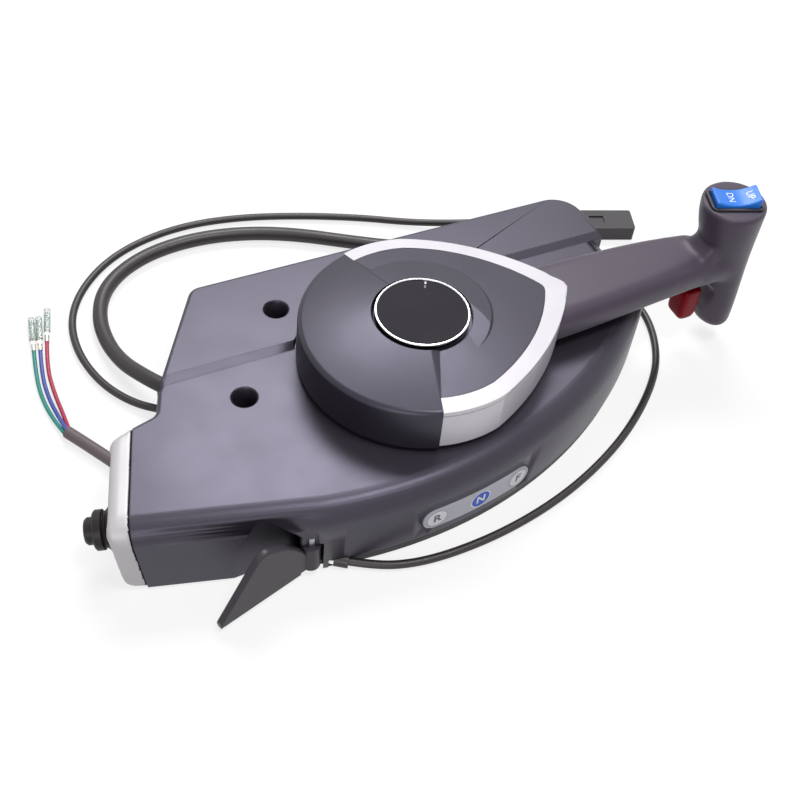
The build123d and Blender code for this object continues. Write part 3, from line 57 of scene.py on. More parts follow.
# ---------------------------------------------------------------- camera
LENS, SENSOR = 51.75, 36.0
EYE = Vector((-0.222829, -0.373031, 0.504342))
RIGHT = Vector((0.90291596, -0.42324739, 0.07486263))
UP = Vector((0.27460776, 0.70204103, 0.65706086))
BACK = Vector((-0.33065593, -0.57271288, 0.75011107))

camera_data = bpy.data.cameras.new("studio camera")
camera_data.lens = LENS
camera_data.sensor_width = SENSOR
camera_data.dof.use_dof = False
camera = bpy.data.objects.new("studio camera", camera_data)
turn = Matrix((RIGHT, UP, BACK)).transposed().to_4x4()
camera.matrix_world = Matrix.Translation(EYE) @ turn
bpy.context.collection.objects.link(camera)
bpy.context.scene.camera = camera


# ---------------------------------------------------------------- materials
NOISE_LOW, NOISE_HIGH = 0.3, 0.7        # nearly all of a noise texture's values lie between these
EDGE_SAMPLES = 4                        # rays that find a softened edge
METAL_EDGE, METAL_CLOUD = 0.25, 9.0     # plated edges' rounding and the size of their dull patches


def linear(code):
    """An sRGB hex colour as linear RGBA."""
    parts = [int(code[i:i + 2], 16) / 255 for i in (1, 3, 5)]
    return [p / 12.92 if p <= 0.04045 else ((p + 0.055) / 1.055) ** 2.4 for p in parts] + [1.0]


def add(tree, kind, sockets=None, **settings):
    """Add a node: settings are its own properties, sockets its inputs, as values or as links."""
    node = tree.nodes.new(kind)
    for name, value in settings.items():
        setattr(node, name, value)
    for name, value in (sockets or {}).items():
        if isinstance(value, bpy.types.NodeSocket):
            tree.links.new(value, node.inputs[name])
        else:
            node.inputs[name].default_value = value
    return node


def finish(name, sockets):
    """A material with one shader, whose sockets are set here, and its tree."""
    material = bpy.data.materials.new(name)
    material.use_nodes = True
    tree = material.node_tree
    tree.nodes.clear()
    shader = add(tree, "ShaderNodeBsdfPrincipled", sockets)
    add(tree, "ShaderNodeOutputMaterial", {"Surface": shader.outputs[0]})
    return material, tree, shader


def per_mm(size):
    """Texture scale that makes a pattern of this size in millimetres."""
    return 1.0 / (size * MM)


def dress(tree, shader, relief, depth, rounding, slow, spread):
    """Give a shader its fine relief over softened edges, and a slow drift of gloss either side of its own."""
    soft = add(tree, "ShaderNodeBevel", {"Radius": rounding * MM}, samples=EDGE_SAMPLES)
    bump = add(tree, "ShaderNodeBump", {"Height": relief, "Strength": 1.0, "Distance": depth * MM,
                                        "Normal": soft.outputs[0]})
    base = shader.inputs["Roughness"].default_value
    gloss = add(tree, "ShaderNodeMapRange", {"Value": slow, "From Min": NOISE_LOW, "From Max": NOISE_HIGH,
                                             "To Min": base * (1 - spread), "To Max": base * (1 + spread)})
    tree.links.new(bump.outputs[0], shader.inputs["Normal"])
    tree.links.new(gloss.outputs[0], shader.inputs["Roughness"])


def moulded(name, code, sockets, grain=0.5, depth=0.012, mottle=0.12, cloud=34.0, rounding=0.35, tone=0.06):
    """Moulded plastic or rubber: spark-eroded grain, a slow drift of gloss and tone, and soft edges."""
    material, tree, shader = finish(name, sockets)
    place = add(tree, "ShaderNodeTexCoord").outputs["Object"]
    fine = add(tree, "ShaderNodeTexNoise", {"Vector": place, "Scale": per_mm(grain), "Detail": 2.0})
    slow = add(tree, "ShaderNodeTexNoise", {"Vector": place, "Scale": per_mm(cloud), "Detail": 3.0})
    dress(tree, shader, fine.outputs[0], depth, rounding, slow.outputs[0], mottle)
    dark, light = ([c * f for c in linear(code)[:3]] + [1.0] for f in (1 - tone, 1 + tone))
    shade = add(tree, "ShaderNodeMix", {0: slow.outputs[0]}, data_type="RGBA")
    shade.inputs[6].default_value = dark
    shade.inputs[7].default_value = light
    tree.links.new(shade.outputs[2], shader.inputs["Base Color"])
    return material


def metal(name, code, roughness, line=(0.25, 0.25, 12.0), depth=0.004, blotch=0.15):
    """Plated or machined metal: tool lines along one direction and a slow change of gloss."""
    sockets = {"Base Color": linear(code), "Metallic": 1.0, "Roughness": roughness}
    material, tree, shader = finish(name, sockets)
    place = add(tree, "ShaderNodeTexCoord").outputs["Object"]
    stretched = add(tree, "ShaderNodeMapping", {"Vector": place, "Scale": [per_mm(s) for s in line]})
    lines = add(tree, "ShaderNodeTexNoise", {"Vector": stretched.outputs[0], "Scale": 1.0, "Detail": 2.0})
    slow = add(tree, "ShaderNodeTexNoise", {"Vector": place, "Scale": per_mm(METAL_CLOUD), "Detail": 3.0})
    dress(tree, shader, lines.outputs[0], depth, METAL_EDGE, slow.outputs[0], blotch)
    return material


MATERIALS = {
    # Glass-filled nylon, moulded and satin painted: a dark violet grey that goes pale where it mirrors light.
    "housing plastic": moulded("satin painted nylon", "#2e2a31",
                               {"Roughness": 0.36, "IOR": 1.5, "Specular IOR Level": 0.65,
                                "Specular Tint": linear("#e8e2ff")}, rounding=0.9, mottle=0.08),
    # The same nylon left bare: flatter and blacker.
    "back plastic": moulded("bare black nylon", "#1e1d20", {"Roughness": 0.55, "IOR": 1.5}),
    # ABS under satin silver lacquer: nearly white where lit, brownish grey where it looks down.
    "bezel silver": moulded("silver lacquered bezel", "#c6c3c6",
                            {"Roughness": 0.45, "Metallic": 0.15}, grain=0.3, depth=0.004, rounding=0.5),
    # ABS with a fine sparked texture: reads as flat black.
    "panel black": moulded("sparked black panel", "#19181b", {"Roughness": 0.5}),
    # Nylon switch body and its rubber boot: brown black, a soft gleam.
    "switch black": moulded("switch nylon", "#211b1f",
                            {"Roughness": 0.42, "Specular IOR Level": 0.25}, grain=0.4),
    # Nickel-plated brass: bright and a little warm.
    "lock metal": metal("nickel plated brass", "#c9c6c0", 0.2),
    # Zinc-plated steel: grey with a faint blue cast and a mild gleam.
    "zinc steel": metal("zinc plated steel", "#a9adb2", 0.3),
    # Milled carbon steel, lightly oiled: darker grey with visible tool lines.
    "gear steel": metal("milled steel", "#86868a", 0.36, depth=0.008),
    # Acetal: milky, waxy, slightly yellow.
    "bush plastic": moulded("natural acetal", "#dcd8cb", {"Roughness": 0.4, "Subsurface Weight": 0.1}),
    # Moulded black nylon out of sight.
    "inner plastic": moulded("black moulding", "#202022", {"Roughness": 0.5}),
    # Satin painted ABS of the hub: as the housing, with a finer skin.
    "hub plastic": moulded("satin painted hub", "#19171b",
                           {"Roughness": 0.37, "IOR": 1.5, "Specular IOR Level": 0.65,
                            "Specular Tint": linear("#e8e2ff")}, grain=0.35, rounding=0.8, mottle=0.08),
    # White pearl lacquer on ABS: near white on top, lilac grey as it turns away.
    "trim silver": moulded("pearl lacquered trim", "#dbd7de",
                           {"Roughness": 0.36, "Metallic": 0.12, "Coat Weight": 0.3, "Coat Roughness": 0.2},
                           grain=0.3, depth=0.003, rounding=0.5),
    # Chromed ABS: mirrors its surroundings.
    "ring chrome": metal("bright chrome", "#d8d9dc", 0.12, depth=0.001),
    # Matte vinyl badge, blank: deep, even, no gleam.
    "badge black": moulded("blank matte badge", "#343137", {"Roughness": 0.85, "Specular IOR Level": 0.12},
                           grain=0.3, depth=0.003),
    # Soft-touch elastomer over nylon on arm and grip: warm grey, dusty, no hard gleam.
    "arm plastic": moulded("soft touch grip", "#403546",
                           {"Roughness": 0.46, "Sheen Weight": 0.2, "Specular IOR Level": 0.4}, rounding=1.8),
    # Satin painted nylon of the small lever.
    "paddle plastic": moulded("satin painted paddle", "#3f3a41",
                              {"Roughness": 0.36, "Specular IOR Level": 0.25}, rounding=0.7),
    # Red ABS of the lock trigger: dark, slightly glossy.
    "trigger red": moulded("dark red trigger", "#8a0818",
                           {"Roughness": 0.42, "Specular IOR Level": 0.15}, rounding=0.8),
    # Blue ABS rocker: clear saturated blue with a pale gleam.
    "rocker blue": moulded("blue rocker", "#1f78e0", {"Roughness": 0.3},
                           grain=0.3, depth=0.004, rounding=0.6),
    # Nylon frame round the rocker.
    "frame black": moulded("rocker frame nylon", "#3a3438", {"Roughness": 0.45}),
    # Polycarbonate index plate printed silver grey: satin, cool.
    "plate silver": moulded("silver printed index plate", "#c2c2ce", {"Roughness": 0.4, "Metallic": 0.1},
                            grain=0.3, depth=0.003, rounding=0.2),
    # PVC jacket and rubber glands: black brown, low gleam.
    "cord rubber": moulded("black cord jacket", "#2c262a", {"Roughness": 0.42}, grain=0.7, depth=0.03),
    # Brown black sleeving over the pigtail.
    "sleeve dark": moulded("pigtail sleeving", "#62575b", {"Roughness": 0.5}, grain=0.5, depth=0.03),
    # PBT plug body: dark, slightly glossy.
    "plug plastic": moulded("plug housing", "#343034", {"Roughness": 0.4}, rounding=0.3),
    # Tinned brass crimps.
    "terminal metal": metal("tinned brass", "#c8c4ba", 0.28),
    # Thin vinyl sleeve: see-through, milky at its edges.
    "boot clear": moulded("clear vinyl sleeve", "#dfe8e6",
                          {"Roughness": 0.2, "Transmission Weight": 0.75, "IOR": 1.4}, grain=0.8, depth=0.01),
    # PVC wire jackets: clear strong colours, glossy.
    "wire teal": moulded("teal wire jacket", "#1f8a80", {"Roughness": 0.35}, grain=0.5, depth=0.01),
    "wire blue": moulded("blue wire jacket", "#4454a8", {"Roughness": 0.35}, grain=0.5, depth=0.01),
    "wire red": moulded("red wire jacket", "#b02a48", {"Roughness": 0.35}, grain=0.5, depth=0.01),
}
# Pad-printed ink: flat colour, thin, slightly raised.
INK_WHITE, INK_PALE, INK_GREY, INK_BLUE = (
    moulded(f"{tint} pad print", code, {"Roughness": rough}, grain=0.3, depth=0.003, rounding=0.05)
    for tint, code, rough in (("white", "#f2f2f4", 0.5), ("pale", "#b9b6bd", 0.5),
                              ("grey", "#6e6c78", 0.5), ("blue", "#2a5fd0", 0.45)))

for node in NODES.values():
    for slot in node.material_slots:
        known = slot.material.name.split(".")[0] if slot.material else ""
        if known in MATERIALS:
            slot.material = MATERIALS[known]


# ---------------------------------------------------------------- cords
def cord(name, route, diameter, body, slot, nodes):
    """A cord as one smooth spline through its route, in millimetres."""
    curve = bpy.data.curves.new(name, "CURVE")
    curve.dimensions = "3D"
    curve.bevel_depth = diameter / 2 * MM
    curve.bevel_resolution = 4
    curve.resolution_u = 10
    curve.use_fill_caps = True
    spline = curve.splines.new("NURBS")
    spline.points.add(len(route) - 1)
    for point, place in zip(spline.points, route):
        point.co = (*(c * MM for c in place), 1.0)
    spline.order_u = 3
    spline.use_endpoint_u = True
    piece = bpy.data.objects.new(name, curve)
    bpy.context.collection.objects.link(piece)
    curve.materials.append(MATERIALS[slot])
    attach(piece, body)
    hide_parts(*nodes)


HARNESS = [(-121.0, 50.0, 16.0), (-128.4, 59.5, 15.6), (-135.4, 73.0, 13.0), (-141.8, 90.0, 8.4),
           (-145.3, 110.0, 5.2), (-144.6, 132.5, 4.6), (-136.5, 154.0, 4.6), (-120.0, 170.0, 4.6),
           (-95.0, 180.5, 4.6), (-64.0, 182.5, 4.6), (-32.0, 176.0, 4.6), (-3.0, 163.0, 4.6),
           (24.0, 146.0, 4.6), (52.0, 129.5, 4.6), (84.0, 118.5, 4.6), (118.0, 116.0, 4.6),
           (148.0, 118.0, 5.0), (174.0, 108.5, 5.0)]
LEAD = [(-122.8, 46.0, 4.6), (-132.2, 51.7, 4.2), (-146.0, 65.0, 3.0), (-157.5, 86.0, 2.4),
        (-163.0, 113.0, 2.4), (-160.2, 140.0, 2.4), (-148.0, 163.0, 2.4), (-127.0, 183.0, 2.4),
        (-101.0, 195.0, 2.4), (-69.0, 200.0, 2.4), (-33.0, 195.5, 2.4), (5.0, 183.5, 2.4),
        (42.0, 168.0, 2.4), (72.0, 151.5, 2.6), (98.0, 137.0, 6.0), (122.0, 122.5, 12.0),
        (142.0, 106.0, 12.5), (157.0, 86.0, 8.0), (168.0, 62.5, 3.6), (175.5, 38.0, 2.5),
        (175.0, 13.0, 2.4), (162.5, -15.0, 2.4), (144.0, -36.0, 2.4), (115.0, -58.0, 2.4),
        (84.0, -74.5, 2.4), (50.0, -87.0, 2.4), (14.0, -94.5, 2.4), (-20.0, -96.5, 2.4),
        (-45.0, -94.0, 2.4), (-64.0, -87.0, 2.8), (-80.0, -76.8, 3.6)]
SLEEVE = [(-155.6, 4.6, 5.6), (-163.5, 20.0, 4.6), (-173.3, 37.8, 3.9), (-183.6, 55.0, 3.7)]
TEAL = [(-184.85, 54.3, 3.0), (-188.2, 67.0, 1.7), (-190.4, 86.0, 1.3), (-189.2, 105.0, 1.5),
        (-186.0, 122.8, 2.3)]
BLUE = [(-183.6, 55.0, 5.3), (-185.3, 68.0, 2.4), (-186.9, 86.0, 1.3), (-185.9, 105.0, 1.5),
        (-182.4, 122.0, 2.3)]
RED = [(-182.3, 55.7, 3.0), (-182.3, 69.0, 1.7), (-183.0, 88.0, 1.3), (-181.9, 109.0, 1.5),
       (-177.2, 127.4, 2.3)]
HARNESS_D, LEAD_D, SLEEVE_D, WIRE_D = 9.0, 4.6, 7.0, 2.4

cord("harness_run", HARNESS, HARNESS_D, "case", "cord rubber", ["harness_cord"])
cord("rocker_lead", LEAD, LEAD_D, "case", "cord rubber", ["trim_lead"])
cord("pigtail_cover", SLEEVE, SLEEVE_D, "case", "sleeve dark", ["pigtail_sleeve"])
for tag, route, length in (("teal", TEAL, 0.069), ("blue", BLUE, 0.068), ("red", RED, 0.072)):
    cord(f"{tag}_jacket", route, WIRE_D, "case", f"wire {tag}", [f"wire_{tag}"])


# ---------------------------------------------------------------- finished shells
JOIN_GAP = 0.002        # corners of the CAD triangles nearer than this are one corner
SHARP_ANGLE = 35.0      # edges that turn more than this stay crisp


def made(name, shape, materials):
    """A Blender object from an edited shape, at the origin."""
    mesh = bpy.data.meshes.new(name)
    shape.to_mesh(mesh)
    shape.free()
    for material in materials:
        mesh.materials.append(material)
    piece = bpy.data.objects.new(name, mesh)
    bpy.context.collection.objects.link(piece)
    return piece


def merged(node):
    """An editable copy of a CAD node's shape, its loose triangles joined."""
    shape = bmesh.new()
    shape.from_mesh(NODES[node].data)
    bmesh.ops.remove_doubles(shape, verts=shape.verts, dist=JOIN_GAP * MM)
    return shape


def never(polygon):
    """The plain test for flat faces: none is."""
    return False


def piece_of(name, shape, materials, body, node, flat=never):
    """A finished piece from an edited shape, riding on a body in its CAD node's place."""
    piece = made(name, shape, materials)
    piece.data.shade_smooth()
    piece.data.set_sharp_from_angle(angle=radians(SHARP_ANGLE))
    for polygon in piece.data.polygons:
        polygon.use_smooth = not flat(polygon)
    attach(piece, body)
    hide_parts(node)


def lump(shape, low, high, soft, tilt=0.0):
    """Add a rounded block between two corners, tilted about its own Y axis, in millimetres."""
    low, high = Vector(low), Vector(high)
    block = bmesh.ops.create_cube(shape, size=MM)["verts"]
    bmesh.ops.scale(shape, vec=high - low, verts=block)
    edges = list({e for v in block for e in v.link_edges})
    block = bmesh.ops.bevel(shape, geom=edges, affect="EDGES", offset=soft * MM, segments=4, profile=0.5,
                            material=-1)["verts"]
    bmesh.ops.rotate(shape, cent=(0, 0, 0), matrix=Matrix.Rotation(radians(tilt), 3, "Y"), verts=block)
    bmesh.ops.translate(shape, vec=(low + high) / 2 * MM, verts=block)


def relax(shape, verts, times):
    """Even out some of a shape's points, time after time."""
    for _ in range(times):
        bmesh.ops.smooth_vert(shape, verts=verts, factor=0.5,
                              use_axis_x=True, use_axis_y=True, use_axis_z=True)


VOXEL_STEPS = 2         # relaxing that takes the voxels' own steps out


def skin(node, voxel, *rounds, lumps=()):
    """A CAD node's shape, with lumps, as one even skin. Each round is how often to relax it, and where."""
    shape = merged(node)
    for added in lumps:
        lump(shape, *added)
    rough = made("rough skin", shape, [])
    remesh = rough.modifiers.new("even skin", "REMESH")
    remesh.mode = "VOXEL"
    remesh.voxel_size = voxel * MM
    graph = bpy.context.evaluated_depsgraph_get()
    even = bmesh.new()
    even.from_object(rough, graph)
    bpy.data.objects.remove(rough)
    relax(even, even.verts, VOXEL_STEPS)
    for times, test in rounds:
        relax(even, [v for v in even.verts if test(v.co / MM)], times)
    return even


# Lever: arm and grip flow into each other above and beside the trigger.
NECK = Vector((184.0, -2.0, 64.0))
SLOT_TOP_Z, GRIP_BACK_X = 50.0, 204.0


def near_neck(reach):
    """Test for points round the junction of arm and grip, above the trigger's slot."""
    return lambda p: p.z > SLOT_TOP_Z and p.x < GRIP_BACK_X and (p - NECK).length < reach


BLEND = (((174.0, -16.8, 54.0), (200.0, -6.5, 69.0), 5.0),          # near side of the junction
         ((174.0, 2.6, 54.0), (200.0, 12.8, 69.0), 5.0),            # far side
         ((177.0, -12.5, 68.5), (189.0, 8.5, 78.0), 4.0, 45.0))     # saddle on top
lever_skin = skin("lever_arm", 1.1, (12, near_neck(32)), (12, near_neck(24)), lumps=BLEND)
piece_of("lever_body", lever_skin, [MATERIALS["arm plastic"]], "lever", "lever_arm")

# Trigger: one rounded pull, slimmer than its solid below the slot.
PULL_TOP_Z, PULL_BACK_X, PULL_MID_Y = 46.0, 188.0, -2.0
SLIM_TOP_Z, SLIM_X, SLIM_Y = 45.0, 0.76, 0.72
pull = skin("neutral_lock_trigger", 0.7, (30, lambda p: p.z < PULL_TOP_Z))
for vertex in pull.verts:
    if vertex.co.z < SLIM_TOP_Z * MM:
        vertex.co.x = PULL_BACK_X * MM + (vertex.co.x - PULL_BACK_X * MM) * SLIM_X
        vertex.co.y = PULL_MID_Y * MM + (vertex.co.y - PULL_MID_Y * MM) * SLIM_Y
piece_of("trigger_pull", pull, [MATERIALS["trigger red"]], "neutral_lock",
         "neutral_lock_trigger")

# Bezel: big soft rounds at its outer end, and a dark seam where it meets the case.
SEAM_AT, SEAM_OUT = Vector((-164.0, -23.0, 24.0)), Vector((-0.945847, 0.307324, -0.104528))
SEAM_W = 0.95           # the dark seam's width


def off_seam(reach):
    """Test for points further out than this from the bezel's joint plane."""
    return lambda p: (p - SEAM_AT).dot(SEAM_OUT) > reach


collar = skin("end_bezel", 0.8, (16, off_seam(2.5)), (14, off_seam(6.0)))
for face in collar.faces:
    face.material_index = 0 if off_seam(SEAM_W)(face.calc_center_median() / MM) else 1
piece_of("bezel_collar", collar, [MATERIALS["bezel silver"], MATERIALS["panel black"]], "case",
         "end_bezel")

# Front shell: the riser between the two plateaus is a slope that catches light.
RISER = [Vector((-135.91, 29.5)), Vector((0.0, 29.5)), Vector((40.0, 50.0)), Vector((151.0, 50.0))]
RISER_FOOT, RISER_RISE, RISER_REACH = 48.0, 2.5, 2.7     # the riser's foot, height and reach in the solid
RISER_SLOPE = 2.2                                        # how much further back its top edge leans
RISER_END_X, RISER_END_SHARE = -130.0, 0.6               # its end runs along the slanted wall
LEVEL_SLACK = 0.02                                       # share of the rise that counts as level


def off_riser(p):
    """Distance of a point from the riser's line, in plan."""
    gaps = []
    for start, end in zip(RISER, RISER[1:]):
        run = end - start
        t = min(1.0, max(0.0, (p - start).dot(run) / run.length_squared))
        gaps.append((start + run * t - p).length)
    return min(gaps)


shell = merged("front_case")
for vertex in shell.verts:
    at = vertex.co / MM
    above = (at.z - RISER_FOOT) / RISER_RISE
    if LEVEL_SLACK < above < 1 + LEVEL_SLACK and off_riser(at.xy) < RISER_REACH:
        lean = RISER_SLOPE * above
        aside = lean * RISER_END_SHARE if at.x < RISER_END_X else 0.0
        vertex.co += Vector((aside, lean, 0.0)) * MM

# Screw recesses: a small chamfer round each mouth.
RECESSES = ((-59.0, 60.0, 50.5), (-97.0, 7.0, 48.0), (122.0, 8.0, 48.0))     # x, y and height of each mouth
RECESS_R, CHAMFER_OUT, CHAMFER_DOWN = 6.5, 0.9, 1.2
NEAR_R, NEAR_Z, CUT_GAP = 0.1, 0.05, 0.001      # how near a point has to be to count as on the mouth
for x, y, mouth in RECESSES:
    centre = Vector((x, y))
    wall = [f for f in shell.faces
            if all((v.co.xy / MM - centre).length < RECESS_R + NEAR_R for v in f.verts)]
    parts = wall + list({e for f in wall for e in f.edges}) + list({v for f in wall for v in f.verts})
    bmesh.ops.bisect_plane(shell, geom=parts, dist=CUT_GAP * MM, plane_no=(0, 0, 1),
                           plane_co=(0, 0, (mouth - CHAMFER_DOWN) * MM))
    for vertex in shell.verts:
        reach = vertex.co.xy / MM - centre
        if abs(vertex.co.z / MM - mouth) < NEAR_Z and abs(reach.length - RECESS_R) < NEAR_R:
            vertex.co.xy += reach.normalized() * CHAMFER_OUT * MM

# Faces shaded flat, told by the cosines of their tilts and their areas in square millimetres.
WALL_END_X, WALL_PATCH = -90.0, 60.0            # the near wall's plane end, and its big triangles
UPRIGHT, TO_NEAR, SAME_WAY = 0.2, -0.8, 0.9999
LEVEL, SLOPE_LOW, SLOPE_HIGH, SLOPE_PATCH = 0.999, 0.75, 0.95, 6.0
wall_ways = [f.normal.copy() for f in shell.faces
             if abs(f.normal.z) < UPRIGHT and f.normal.y < TO_NEAR
             and f.calc_center_median().x < WALL_END_X * MM and f.calc_area() > WALL_PATCH * MM * MM]


def on_flat(polygon):
    """Test for the level plateaus, the riser's slope and the near wall's plane end."""
    up, area = polygon.normal.z, polygon.area / MM / MM
    at_end = polygon.center.x < WALL_END_X * MM
    plane_wall = at_end and any(polygon.normal.dot(way) > SAME_WAY for way in wall_ways)
    return up > LEVEL or plane_wall or (SLOPE_LOW < up < SLOPE_HIGH and area > SLOPE_PATCH)


piece_of("front_shell", shell, [MATERIALS["housing plastic"]], "case", "front_case",
         flat=on_flat)


def section(*points):
    """A closed outline through points given as radius and height, in millimetres, ready to be turned."""
    shape = bmesh.new()
    corners = [shape.verts.new((r * MM, 0, z * MM)) for r, z in points]
    for first, second in zip(corners, corners[1:] + corners[:1]):
        shape.edges.new((first, second))
    return shape, corners



# Hub cover: a shallow cone with a small lip round and an upright wall, turned from one section.
COVER_HOLE_R, LIP_R, WALL_R, COVER_FOOT_Z = 27.0, 65.4, 66.0, 50.9
LIP_ROUND, SPLIT, COVER_STEPS = 2.6, 106.0, 72          # the cover starts and ends SPLIT degrees from X
cover, corners = section((COVER_HOLE_R, 82.43), (LIP_R, 76.94), (WALL_R, COVER_FOOT_Z),
                         (63.0, COVER_FOOT_Z), (62.4, 74.0), (COVER_HOLE_R, 79.2))
bmesh.ops.bevel(cover, geom=[corners[1]], affect="VERTICES", offset=LIP_ROUND * MM, segments=6,
                profile=0.5, material=-1)
bmesh.ops.rotate(cover, cent=(0, 0, 0), matrix=Matrix.Rotation(radians(SPLIT), 3, "Z"), verts=cover.verts)
bmesh.ops.spin(cover, geom=cover.verts[:] + cover.edges[:], axis=(0, 0, 1), cent=(0, 0, 0),
               angle=radians(360 - 2 * SPLIT), steps=COVER_STEPS, use_duplicate=False)
bmesh.ops.holes_fill(cover, edges=[e for e in cover.edges if e.is_boundary], sides=0)
bmesh.ops.recalc_face_normals(cover, faces=cover.faces)
piece_of("cover_turning", cover, [MATERIALS["hub plastic"]], "lever", "hub_cover")

# Badge ring: a thin bright turning that stands clear of the hub in a dark gap.
RING_IN_R, RING_OUT_R, RING_FOOT_Z, RING_TOP_Z, RING_STEPS = 24.1, 25.35, 80.0, 84.0, 96
CLOSE_GAP = 0.001
bright, _ = section((RING_IN_R, RING_FOOT_Z), (RING_IN_R, 83.7), (24.5, RING_TOP_Z), (25.0, RING_TOP_Z),
                    (RING_OUT_R, 83.6), (RING_OUT_R, RING_FOOT_Z))
bmesh.ops.spin(bright, geom=bright.verts[:] + bright.edges[:], axis=(0, 0, 1), cent=(0, 0, 0),
               angle=radians(360), steps=RING_STEPS, use_merge=True, use_duplicate=False)
bmesh.ops.remove_doubles(bright, verts=bright.verts, dist=CLOSE_GAP * MM)
bmesh.ops.recalc_face_normals(bright, faces=bright.faces)
piece_of("ring_turning", bright, [MATERIALS["ring chrome"]], "lever", "badge_ring")


# ---------------------------------------------------------------- marks
INK = 0.05              # each layer of ink stands this much above the last
RAY_START = 50.0        # how far above its plane a mark starts to look for the surface
STROKE_CUT = 0.15       # a letter's longer edges, as a share of its height, are cut to follow the surface
UP_WAY = Vector((0, 0, 1))


def lay_on(piece, node, out, layer, body):
    """Drop a flat mark onto a CAD node's surface, as one of its layers of ink, and let it ride on a body."""
    shape = NODES[node].data
    target = BVHTree.FromPolygons([v.co for v in shape.vertices], [p.vertices for p in shape.polygons])
    for vertex in piece.data.vertices:
        place = target.ray_cast(vertex.co + out * RAY_START * MM, -out)[0]
        if place is not None:
            vertex.co = place + out * INK * layer * MM
    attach(piece, body)


def mark(name, text, height, place, material, heavier=0.0):
    """A mark cut from text, at a place given as a matrix, its strokes made heavier by so many millimetres."""
    curve = bpy.data.curves.new(name, "FONT")
    curve.offset = heavier * MM
    curve.body = text
    curve.size = height * MM
    curve.align_x = "CENTER"
    curve.align_y = "CENTER"
    curve.resolution_u = 6
    source = bpy.data.objects.new(name + "_outline", curve)
    mesh = bpy.data.meshes.new_from_object(source)
    bpy.data.objects.remove(source)
    shape = bmesh.new()
    shape.from_mesh(mesh)
    bpy.data.meshes.remove(mesh)
    bmesh.ops.triangulate(shape, faces=shape.faces)
    long = [e for e in shape.edges if e.calc_length() > height * STROKE_CUT * MM]
    bmesh.ops.subdivide_edges(shape, edges=long, cuts=2, use_grid_fill=False)
    bmesh.ops.triangulate(shape, faces=shape.faces)
    bmesh.ops.transform(shape, matrix=place, verts=shape.verts)
    return made(name, shape, [material])


def facing(origin, across, out):
    """Matrix of a mark's plane at an origin in millimetres: its reading direction, and the way it faces."""
    across, out = across.normalized(), out.normalized()
    return Matrix.Translation(origin * MM) @ Matrix((across, out.cross(across), out)).transposed().to_4x4()


def disc(name, radius, place, material):
    """A round printed patch."""
    shape = bmesh.new()
    bmesh.ops.create_circle(shape, cap_ends=True, cap_tris=True, segments=48, radius=radius * MM,
                            matrix=place)
    bmesh.ops.subdivide_edges(shape, edges=[e for e in shape.edges if not e.is_boundary], cuts=3)
    bmesh.ops.triangulate(shape, faces=shape.faces)
    return made(name, shape, [material])


def bar(name, length, width, place, material):
    """A straight printed line."""
    shape = bmesh.new()
    bmesh.ops.create_grid(shape, x_segments=4, y_segments=1, size=0.5)
    bmesh.ops.scale(shape, vec=(length * MM, width * MM, 1), verts=shape.verts)
    bmesh.ops.transform(shape, matrix=place, verts=shape.verts)
    return made(name, shape, [material])


# Index plate: R, N and F in round patches, on the plate's curved face.
PLATE_MID, PLATE_OUT = Vector((0.11, -81.48, 20.0)), Vector((0.142, -0.99, 0.0))
PLATE_RUN = Vector((0.99, 0.142, 0.0))
RIM_R, PATCH_R, LETTER_H, LETTER_HEAVIER = 6.4, 5.6, 7.8, 0.25
for letter, along, edge, patch, ink in (("R", -26.0, INK_PALE, INK_WHITE, INK_GREY),
                                        ("N", 1.0, INK_WHITE, INK_BLUE, INK_WHITE),
                                        ("F", 26.5, INK_PALE, INK_WHITE, INK_GREY)):
    spot = facing(PLATE_MID + PLATE_RUN * along, PLATE_RUN, PLATE_OUT)
    layers = (disc(f"index_rim_{letter}", RIM_R, spot, edge),
              disc(f"index_patch_{letter}", PATCH_R, spot, patch),
              mark(f"index_letter_{letter}", letter, LETTER_H, spot, ink, LETTER_HEAVIER))
    for layer, piece in enumerate(layers, 1):
        lay_on(piece, "gear_plate", PLATE_OUT, layer, "case")

# Trim rocker: UP and DN, read from the lever's side.
ROCKER_MID, ROCKER_TURN, WORD_H = Vector((194.0, -2.0, 125.0)), radians(-20), 5.6
ROCKER_LONG = Vector((cos(ROCKER_TURN), sin(ROCKER_TURN), 0))
ROCKER_READ = Vector((ROCKER_LONG.y, -ROCKER_LONG.x, 0))
for word, along in (("UP", 7.6), ("DN", -3.4)):
    spot = facing(ROCKER_MID + ROCKER_LONG * along, ROCKER_READ, UP_WAY)
    sign = mark(f"rocker_{word}", word, WORD_H, spot, INK_WHITE)
    lay_on(sign, "trim_rocker", UP_WAY, 1, "trim_switch")

# Badge: a small index tick at its edge, and its fainter tail.
TICK_TURN, TICK_WIDTH, ABOVE_BADGE = radians(60), 0.9, Vector((0, 0, 90))
TICK_WAY = Vector((cos(TICK_TURN), sin(TICK_TURN), 0))
for name, reach, length, ink in (("badge_tick", 22.3, 1.6, INK_WHITE),
                                 ("badge_tick_tail", 19.4, 2.4, INK_GREY)):
    spot = facing(TICK_WAY * reach + ABOVE_BADGE, TICK_WAY, UP_WAY)
    tick = bar(name, length, TICK_WIDTH, spot, ink)
    lay_on(tick, "badge_disc", UP_WAY, 1, "lever")


# ---------------------------------------------------------------- studio
def lamp(name, place, aim, size, power):
    """A soft oblong lamp."""
    light = bpy.data.lights.new(name, "AREA")
    light.shape = "RECTANGLE"
    light.size, light.size_y = size
    light.energy = power
    body = bpy.data.objects.new(name, light)
    body.location = place
    body.rotation_euler = (Vector(place) - Vector(aim)).to_track_quat("Z", "Y").to_euler()
    bpy.context.collection.objects.link(body)


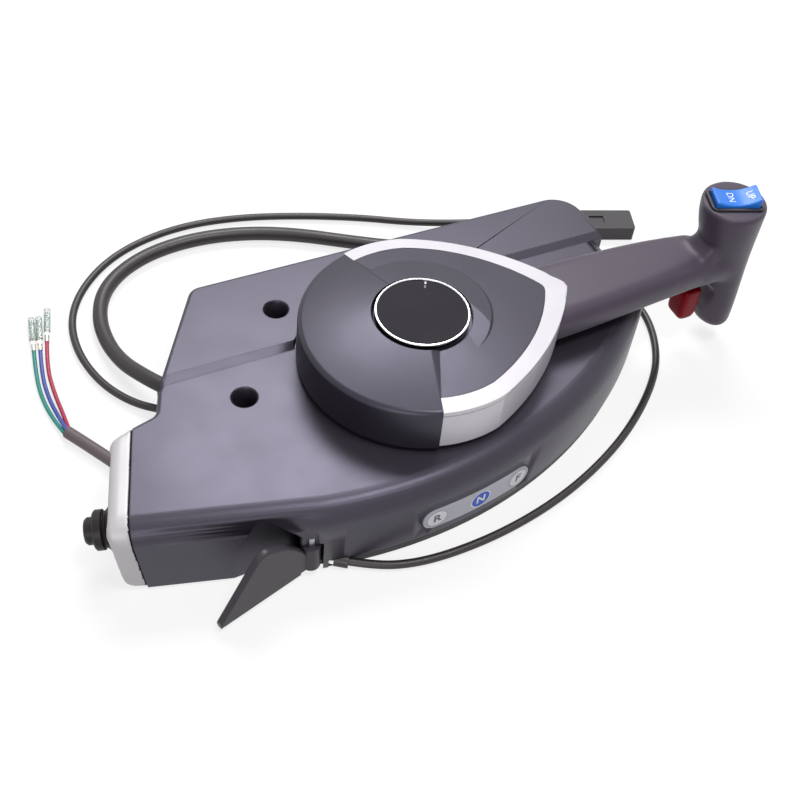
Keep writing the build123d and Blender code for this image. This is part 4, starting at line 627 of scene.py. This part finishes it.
def when_seen(tree, lighting, looks):
    """One shader for the light that falls on things, and another for camera, see-through and mirror rays."""
    ray = add(tree, "ShaderNodeLightPath")
    clear = add(tree, "ShaderNodeMath",
                {0: ray.outputs["Is Camera Ray"], 1: ray.outputs["Is Transmission Ray"]}, operation="MAXIMUM")
    seen = add(tree, "ShaderNodeMath", {0: clear.outputs[0], 1: ray.outputs["Is Glossy Ray"]},
               operation="MAXIMUM")
    both = add(tree, "ShaderNodeMixShader", {0: seen.outputs[0], 1: lighting.outputs[0], 2: looks.outputs[0]})
    return both.outputs[0]


MIDDLE = (0, 0, 0.05)       # what the lamps aim at, in metres, as their places and sizes are
lamp("far key", (0.30, 0.74, 1.15), MIDDLE, (0.72, 0.42), 13.0)
lamp("near fill", (-0.7, -0.95, 0.5), MIDDLE, (0.6, 0.6), 4.0)
lamp("overhead strip", (0.16, -0.27, 1.15), MIDDLE, (0.36, 0.26), 5.5)

WHITE = (1, 1, 1, 1)
world = bpy.data.worlds.new("pale studio")
bpy.context.scene.world = world
world.use_nodes = True
sky = world.node_tree
sky.nodes.clear()
room = add(sky, "ShaderNodeBackground", {"Color": linear("#f2f1f4"), "Strength": 0.16})
backdrop = add(sky, "ShaderNodeBackground", {"Color": WHITE, "Strength": 1.0})
add(sky, "ShaderNodeOutputWorld", {"Surface": when_seen(sky, room, backdrop)})

# Floor: matte, and seen as white with a soft shadow.
FLOOR_HALF, FLOOR_GAP, FLOOR_GLOW = 3.0, 0.0003, 0.78
floor_finish = bpy.data.materials.new("matte white floor")
floor_finish.use_nodes = True
ground = floor_finish.node_tree
ground.nodes.clear()
matte = add(ground, "ShaderNodeBsdfDiffuse", {"Color": linear("#bab9bb")})
shadow = add(ground, "ShaderNodeBsdfDiffuse", {"Color": linear("#8a898b")})
glow = add(ground, "ShaderNodeEmission", {"Color": WHITE, "Strength": FLOOR_GLOW})
lit = add(ground, "ShaderNodeAddShader", {0: shadow.outputs[0], 1: glow.outputs[0]})
add(ground, "ShaderNodeOutputMaterial", {"Surface": when_seen(ground, matte, lit)})
floor_shape = bmesh.new()
bmesh.ops.create_grid(floor_shape, x_segments=1, y_segments=1, size=FLOOR_HALF)
floor = made("floor", floor_shape, [floor_finish])
floor.location.z = cad_box[0][2] - FLOOR_GAP

bpy.context.scene.view_settings.view_transform = "Standard"
